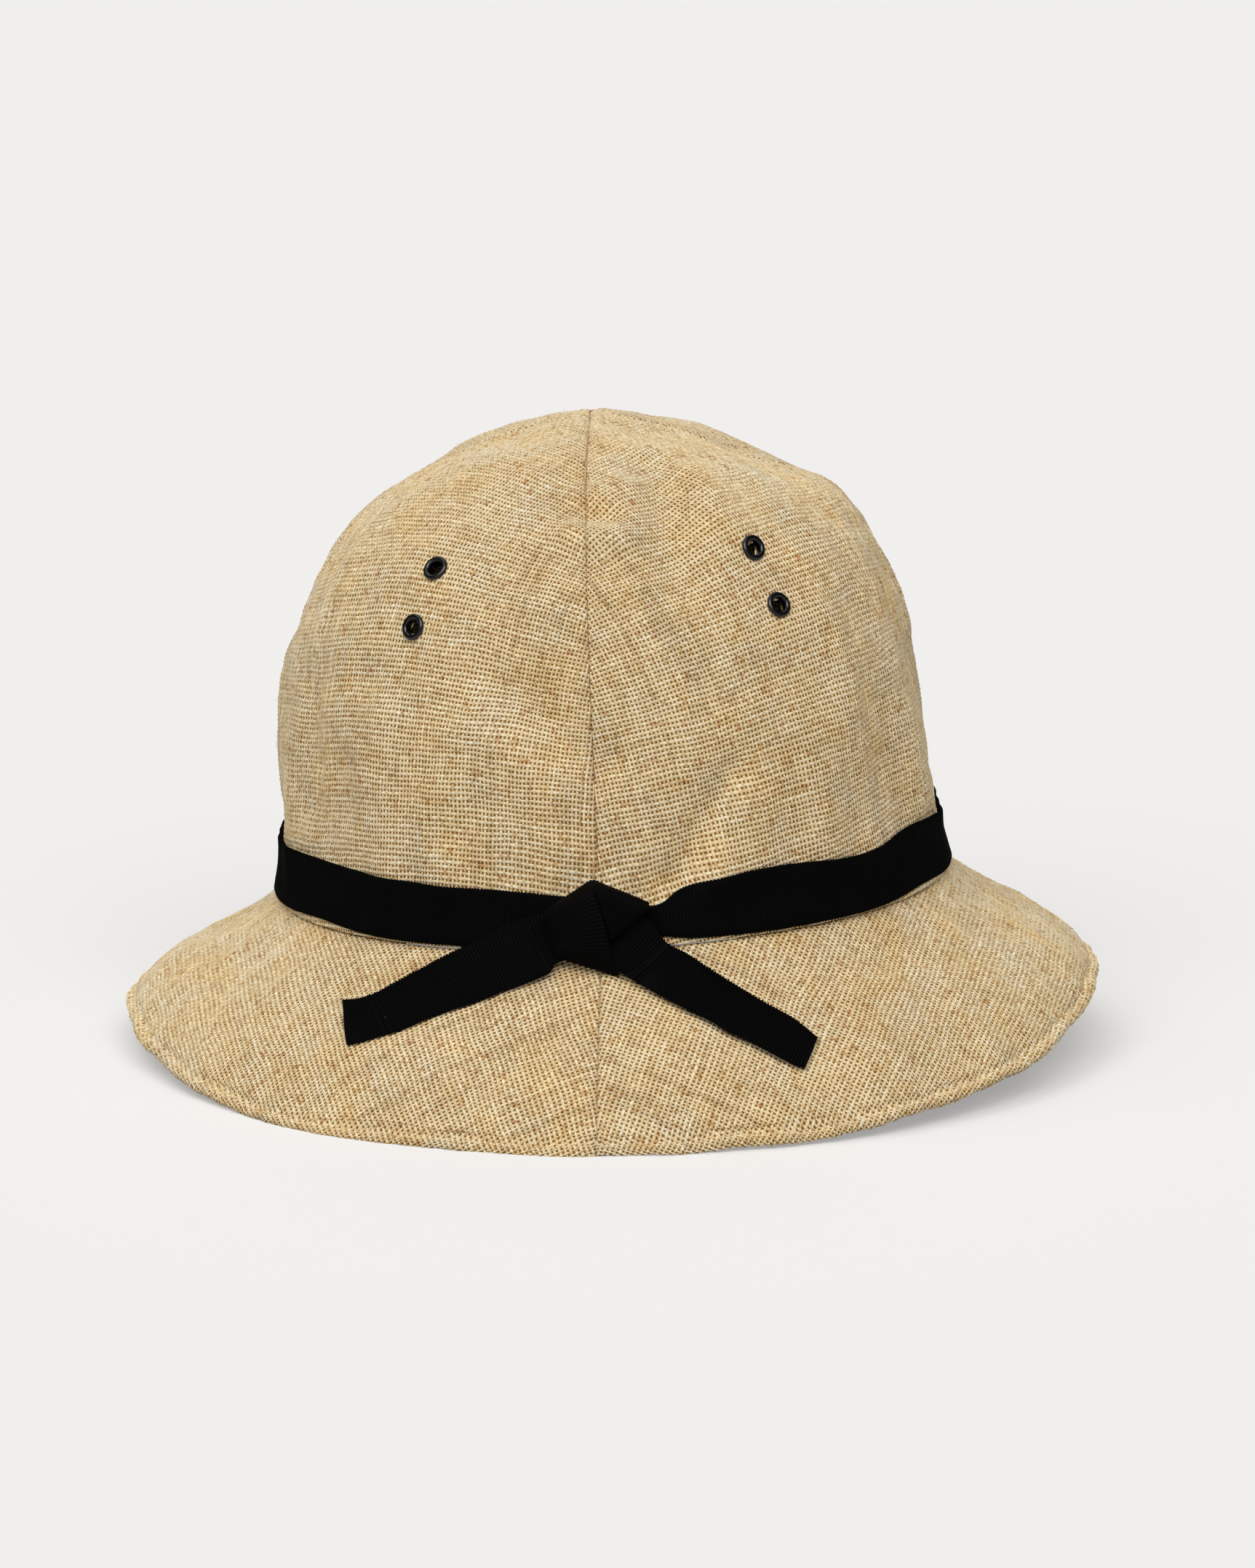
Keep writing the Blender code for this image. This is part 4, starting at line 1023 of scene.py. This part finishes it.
def ribbon_tail(side, rows, creases, material):
    """Free end of the ribbon: it leaves the knot over the band and lies down on the brim. creases are
    shares of its way at which it has been folded across, each a small dip between two ridges."""
    def place(share, over):
        across1, up1, across2, up2, off1, off2 = columns_at(rows, share)
        past = [((share - crease) / 0.012)**2 for crease in creases]
        off = off1 * over + off2 * (1 - over) + sum(0.42 * square * np.exp(-square) for square in past)
        return laid_off(across1 * over + across2 * (1 - over), up1 * over + up2 * (1 - over), off)
    return ribbon(f"ribbon_tail_{side}_grosgrain", place, "draped", [f"brim_{side}", "hatband"],
                  material=material, replaced=[f"ribbon_tail_{side}"])


def ribbon_knot(face, material):
    """One face of the knot: the ribbon between two edges, each a spline through its points, and a
    little crowned between them. A point's height is given as the camera sees it, from VIEW_UP_DEG
    above, on a plane KNOT_PLANE in front of the wall, so a point nearer than that is raised to
    match."""
    def place(share, over):
        x1, z1, d1, x2, z2, d2 = columns_at(KNOT[face], share)
        x, z, depth = (a * (1 - over) + b * over for a, b in ((x1, x2), (z1, z2), (d1, d2)))
        depth = depth + 0.5 * np.sin(np.pi * over)
        return np.stack([x, -KNOT_WALL - depth, z + VIEW_SLOPE * (depth - KNOT_PLANE)], -1)
    return ribbon(f"ribbon_knot_{face}", place, "folded", ["hatband"],
                  material=material, replaced=["ribbon_knot"] if face == "front" else [])


# The eyelets

def eyelet(name, azimuth, rise, material):
    """A turned eyelet: a domed ring outside, rolled at its rim and down into a barrel, and a
    flange turned over inside. Its profile, a closed line of radius and height, goes round 64 steps."""
    inside = -CROWN_CLOTH - 0.35
    outer, hole = EYELET_RADIUS, EYELET_HOLE_RADIUS
    dome = [(hole + (outer - hole) * (0.5 - 0.5 * np.cos(turn)), 0.16 + 0.78 * np.sin(turn)**0.8)
            for turn in np.linspace(0.25, np.pi - 0.02, 18)[:-1]]
    rim = [(outer, 0.12), (outer - 0.12, 0.0)]
    barrel = [(hole + EYELET_BARREL_WALL, 0.02), (hole + EYELET_BARREL_WALL, inside + 0.1)]
    flange = [(outer * 0.9, inside), (outer * 0.93, inside - 0.15), (outer * 0.88, inside - 0.35),
              (hole + 0.5, inside - 0.6), (hole + 0.1, inside - 0.5), (hole - 0.02, inside - 0.2)]
    bore = [(hole - 0.06, -0.6), (hole, 0.1)]
    radius, height = np.array(dome + rim + barrel + flange + bore).T
    azimuths = np.linspace(0, 360, 65)[:-1, None]
    ring = level(azimuths) * radius[:, None] + height[:, None] * np.array([0, 0, 1])
    seat = np.array(eyelet_seat(azimuth, rise))
    points = ring.reshape(-1, 3) @ seat[:3, :3].T + seat[:3, 3] * 1000
    return add_piece(f"eyelet_{name}_ring", points, [grid_faces(64, len(radius), True, True)],
                     material=material, replaced=[f"eyelet_{name}"], slot="enamel", sharp=50)


# Loose fibres and frayed ends

def fibres(name, root, ahead, up, length, radius, seed, **options):
    """Short hairs from given roots, in one mesh. Each runs ahead for its length on a parabola that
    rises along up and sinks again, with a sideways curl, and its four-sided tube tapers."""
    chance = np.random.default_rng(seed)
    ranges = (0.15, 0.75), (0.1, 0.9), (-0.45, 0.45)
    rise, sag, curl = (chance.uniform(low, high, (len(root), 1, 1)) for low, high in ranges)
    root, ahead, up = root[:, None], ahead[:, None], up[:, None]
    side = np.cross(up, ahead)
    t = np.linspace(0, 1, 9)[:, None]
    line = root + length[:, None, None] * (ahead * t + up * (rise * t - sag * t**2) + side * curl * t**2)
    turn = np.arange(4)[:, None] * np.pi / 2
    spoke = (up * np.cos(turn) + side * np.sin(turn))[:, None]
    points = line[:, :, None] + spoke * (radius * (1 - 0.65 * t))[None, :, :, None]
    tube = np.concatenate([grid_faces(9, 4, closed_m=True), [[3, 2, 1, 0], [32, 33, 34, 35]]])
    faces = (tube[None] + np.arange(len(root))[:, None, None] * 36).reshape(-1, 4)
    return add_piece(name, points.reshape(-1, 3), [faces], sharp=180, **options)


def straw_fibres(material):
    """Hairs of straw that stand off the rolled edge, the crown's cloth and its seams, the brim, and
    the cloth round the eyelets. Each has a root, a way ahead and a way up."""
    chance = np.random.default_rng(77)
    on_edge, on_crown, by_seams, on_brim, by_eyelet = 110, 160, 80, 140, 9
    hairs = []

    def on_cloth(root, east, north):
        """Hairs that lie almost flat on the cloth, each some way round."""
        normal = unit(np.cross(east, north))
        turn = chance.uniform(0, 2 * np.pi, (len(root), 1))
        ahead = unit(unit(east) * np.cos(turn) + unit(north) * np.sin(turn) + normal * 0.10)
        hairs.append((root, ahead, unit(normal - ahead * np.sum(normal * ahead, -1, keepdims=True))))

    azimuth, around = chance.uniform(-180, 180, on_edge), np.radians(chance.uniform(-40, 130, on_edge))

    def rolled_edge(azimuth, out):
        return brim(azimuth, 1.0, (RIM_RADIUS + out) * np.cos(around), (RIM_RADIUS + out) * np.sin(around))

    root = rolled_edge(azimuth, 0)
    along, out = unit(rolled_edge(azimuth + 0.3, 0) - root), unit(rolled_edge(azimuth, 1) - root)
    along = along * chance.choice([-1, 1], (on_edge, 1))
    hairs.append((root, unit(along + out * chance.uniform(0.1, 0.9, (on_edge, 1))), out))

    anywhere, seam = chance.uniform(-180, 180, on_crown), chance.choice([NEAR, RIGHT, FAR, LEFT], by_seams)
    azimuth = np.concatenate([anywhere, seam + chance.normal(0, 1.0, by_seams)])
    along = np.concatenate([chance.uniform(0.20, 0.95, on_crown), chance.uniform(0.16, 0.99, by_seams)])
    root = crown(azimuth, along, 0.05)
    on_cloth(root, crown(azimuth + 0.3, along) - root, crown(azimuth, along + 0.003) - root)

    azimuth, way = chance.uniform(-180, 180, on_brim), chance.uniform(0.30, 0.93, on_brim)
    root, east, north = (brim(azimuth + turn, way + step, 0.0, BRIM_CLOTH / 2)
                         for turn, step in ((0, 0), (0.3, 0), (0, 0.01)))
    on_cloth(root, east - root, root - north)

    for seat in (np.array(eyelet_seat(*at)) for at in EYELETS.values()):
        turn = chance.uniform(0, 2 * np.pi, (by_eyelet, 1))
        outward = seat[:3, 0] * np.cos(turn) + seat[:3, 1] * np.sin(turn)
        sideways = np.cross(seat[:3, 2], outward) * chance.normal(0, 0.7, (by_eyelet, 1))
        hairs.append((seat[:3, 3] * 1000 + outward * (EYELET_RADIUS - 0.4),
                      unit(outward + sideways + seat[:3, 2] * 0.15), np.tile(seat[:3, 2], (by_eyelet, 1))))

    counts = on_edge, on_crown + by_seams + on_brim, by_eyelet * len(EYELETS)
    lengths = (0.8, 2.8), (0.8, 2.2), (0.6, 1.6)
    length = np.concatenate([chance.uniform(*reach, count) for reach, count in zip(lengths, counts)])
    root, ahead, up = (np.concatenate(part) for part in zip(*hairs))
    return fibres("loose_straw_fibres", root, ahead, up, length, 0.075, 5, material=material, slot="cloth")


def frayed_end(side, rows, material):
    """Black warp threads that have come loose at the cut end of a free end of the ribbon, most of
    all at its upper corner."""
    chance = np.random.default_rng(len(side))
    count, at_corner = 16, 6
    over = np.concatenate([chance.uniform(0, 1, count - at_corner), chance.uniform(0.88, 1, at_corner)])

    def edge(row):
        across, up, off = (row[f"upper_{key}"] * over + row[f"lower_{key}"] * (1 - over)
                           for key in ("across", "up", "off"))
        return laid_off(across, up, off + RIBBON_THICKNESS * 0.6)
    end = edge(rows[-1])
    ahead = unit(unit(end - edge(rows[-2])) + chance.normal(0, 0.25, (count, 3)))
    corner = np.full(count, rows[-1]["upper_across"]), np.full(count, rows[-1]["upper_up"])
    up = unit(laid_off(*corner, 1.0) - laid(*corner))
    length = chance.uniform(0.6, 2.0, count)
    return fibres(f"frayed_end_{side}", end - ahead * 0.3, ahead, up, length, 0.07, 9,
                  material=material, slot="grosgrain")


# Light, table and camera

# Softboxes so far away that their light is even: azimuth, height and spread in degrees, strength
LIGHTS = (
    ("front_left", -116, 42, 40, 1.38),
    ("front_right", -70, 44, 40, 1.50),
    ("left", 176, 66, 40, 0.34),
    ("back", 90, 64, 50, 0.42),
)
SKY_LIGHT = 0.03
# The table's colour, and the strength of its painted glow, which the camera alone sees
TABLE_COLOUR, TABLE_GLOW = "#cccbc9", 0.345

# The camera, in mm and degrees: its distance from a point on the hat's axis, that point's height
# above the table, and how far above and to the right of it the camera stands
VIEW_DISTANCE, VIEW_HEIGHT, VIEW_UP_DEG, VIEW_RIGHT_DEG = 1350.0, 70.7, 10.4, 1.9
# Its picture, in pixels of the photograph: focal length, height, and shift sideways
FOCAL_PX, PHOTO_HEIGHT_PX, PHOTO_SHIFT_PX = 6750, 2156, 19.5


def stage():
    """A wide pale table, soft light from the front on both sides, with a little from the left and
    from behind, and the photograph's view."""
    scene = bpy.context.scene
    corners = [(-40, -40, 0), (40, -40, 0), (40, 40, 0), (-40, 40, 0)]
    mesh = bpy.data.meshes.new("studio_table")
    mesh.from_pydata(corners, [], [(0, 1, 2, 3)])
    table_top = bpy.data.objects.new("studio_table", mesh)
    scene.collection.objects.link(table_top)
    material, tree = new_material("matte_pale_card")
    # Painted light: a glow seen by the camera alone lightens the card and keeps its shadows light; that glow
    # isn't cast on the hat
    card = node(tree, "BsdfDiffuse", linear(TABLE_COLOUR))
    glow = node(tree, "Math", node(tree, "LightPath"), TABLE_GLOW, operation="MULTIPLY")
    glow = node(tree, "Emission", linear("#fffefc"), glow)
    node(tree, "OutputMaterial", node(tree, "AddShader", card, glow))
    mesh.materials.append(material)

    # A dim white sky lights the scene, and beyond the table one as pale as the table is seen
    world = bpy.data.worlds.new("studio")
    world.use_nodes = True
    tree = world.node_tree
    tree.nodes.clear()
    sky = node(tree, "Background", (1, 1, 1, 1), SKY_LIGHT)
    backdrop = node(tree, "Background", linear("#f0efed"), 1.0)
    shown = node(tree, "MixShader", node(tree, "LightPath"), sky, backdrop)
    node(tree, "OutputWorld", shown)
    scene.world = world

    def direction(azimuth, height):
        turn, rise = np.radians(azimuth), np.radians(height)
        return Vector((np.cos(rise) * np.cos(turn), np.cos(rise) * np.sin(turn), np.sin(rise)))

    def turned_to(name, data, place, away):
        """An object at a place, whose +Z points along away."""
        added = bpy.data.objects.new(name, data)
        added.location = place
        added.rotation_euler = away.to_track_quat("Z", "Y").to_euler()
        scene.collection.objects.link(added)
        return added

    for name, azimuth, height, spread, strength in LIGHTS:
        light = bpy.data.lights.new(name, "SUN")
        light.energy = strength
        light.angle = np.radians(spread)
        turned_to(name, light, direction(azimuth, height) * 3, direction(azimuth, height))

    camera = bpy.data.cameras.new("camera")
    camera.sensor_fit = "VERTICAL"
    camera.sensor_height = 24.0
    camera.lens = 24.0 * FOCAL_PX / PHOTO_HEIGHT_PX
    camera.shift_x = PHOTO_SHIFT_PX / PHOTO_HEIGHT_PX
    camera.clip_start, camera.clip_end = 0.05, 40.0
    back = direction(NEAR + VIEW_RIGHT_DEG, VIEW_UP_DEG)
    aim = Vector((AXIS_OFF_ORIGIN, 0, VIEW_HEIGHT)) * 0.001
    scene.camera = turned_to("camera", camera, aim + back * VIEW_DISTANCE * 0.001, back)
    scene.view_settings.view_transform = "Standard"


cloth = woven_raffia()
grosgrain = black_grosgrain()
enamel = black_enamel()
fibre = raffia_fibre()

for side, start in (("near_right", NEAR), ("far_right", RIGHT), ("far_left", FAR), ("near_left", LEFT - 360)):
    crown_panel(side, start, cloth)
brim_half("right", NEAR, cloth)
brim_half("left", FAR, cloth)
hatband(grosgrain)
ribbon_tail("left", TAIL_LEFT, (0.25, 0.875), grosgrain)
ribbon_tail("right", TAIL_RIGHT, (0.375,), grosgrain)
for face in KNOT:
    ribbon_knot(face, grosgrain)
for name, (azimuth, rise) in EYELETS.items():
    eyelet(name, azimuth, rise, enamel)
straw_fibres(fibre)
frayed_end("left", TAIL_LEFT, grosgrain)
frayed_end("right", TAIL_RIGHT, grosgrain)

stage()
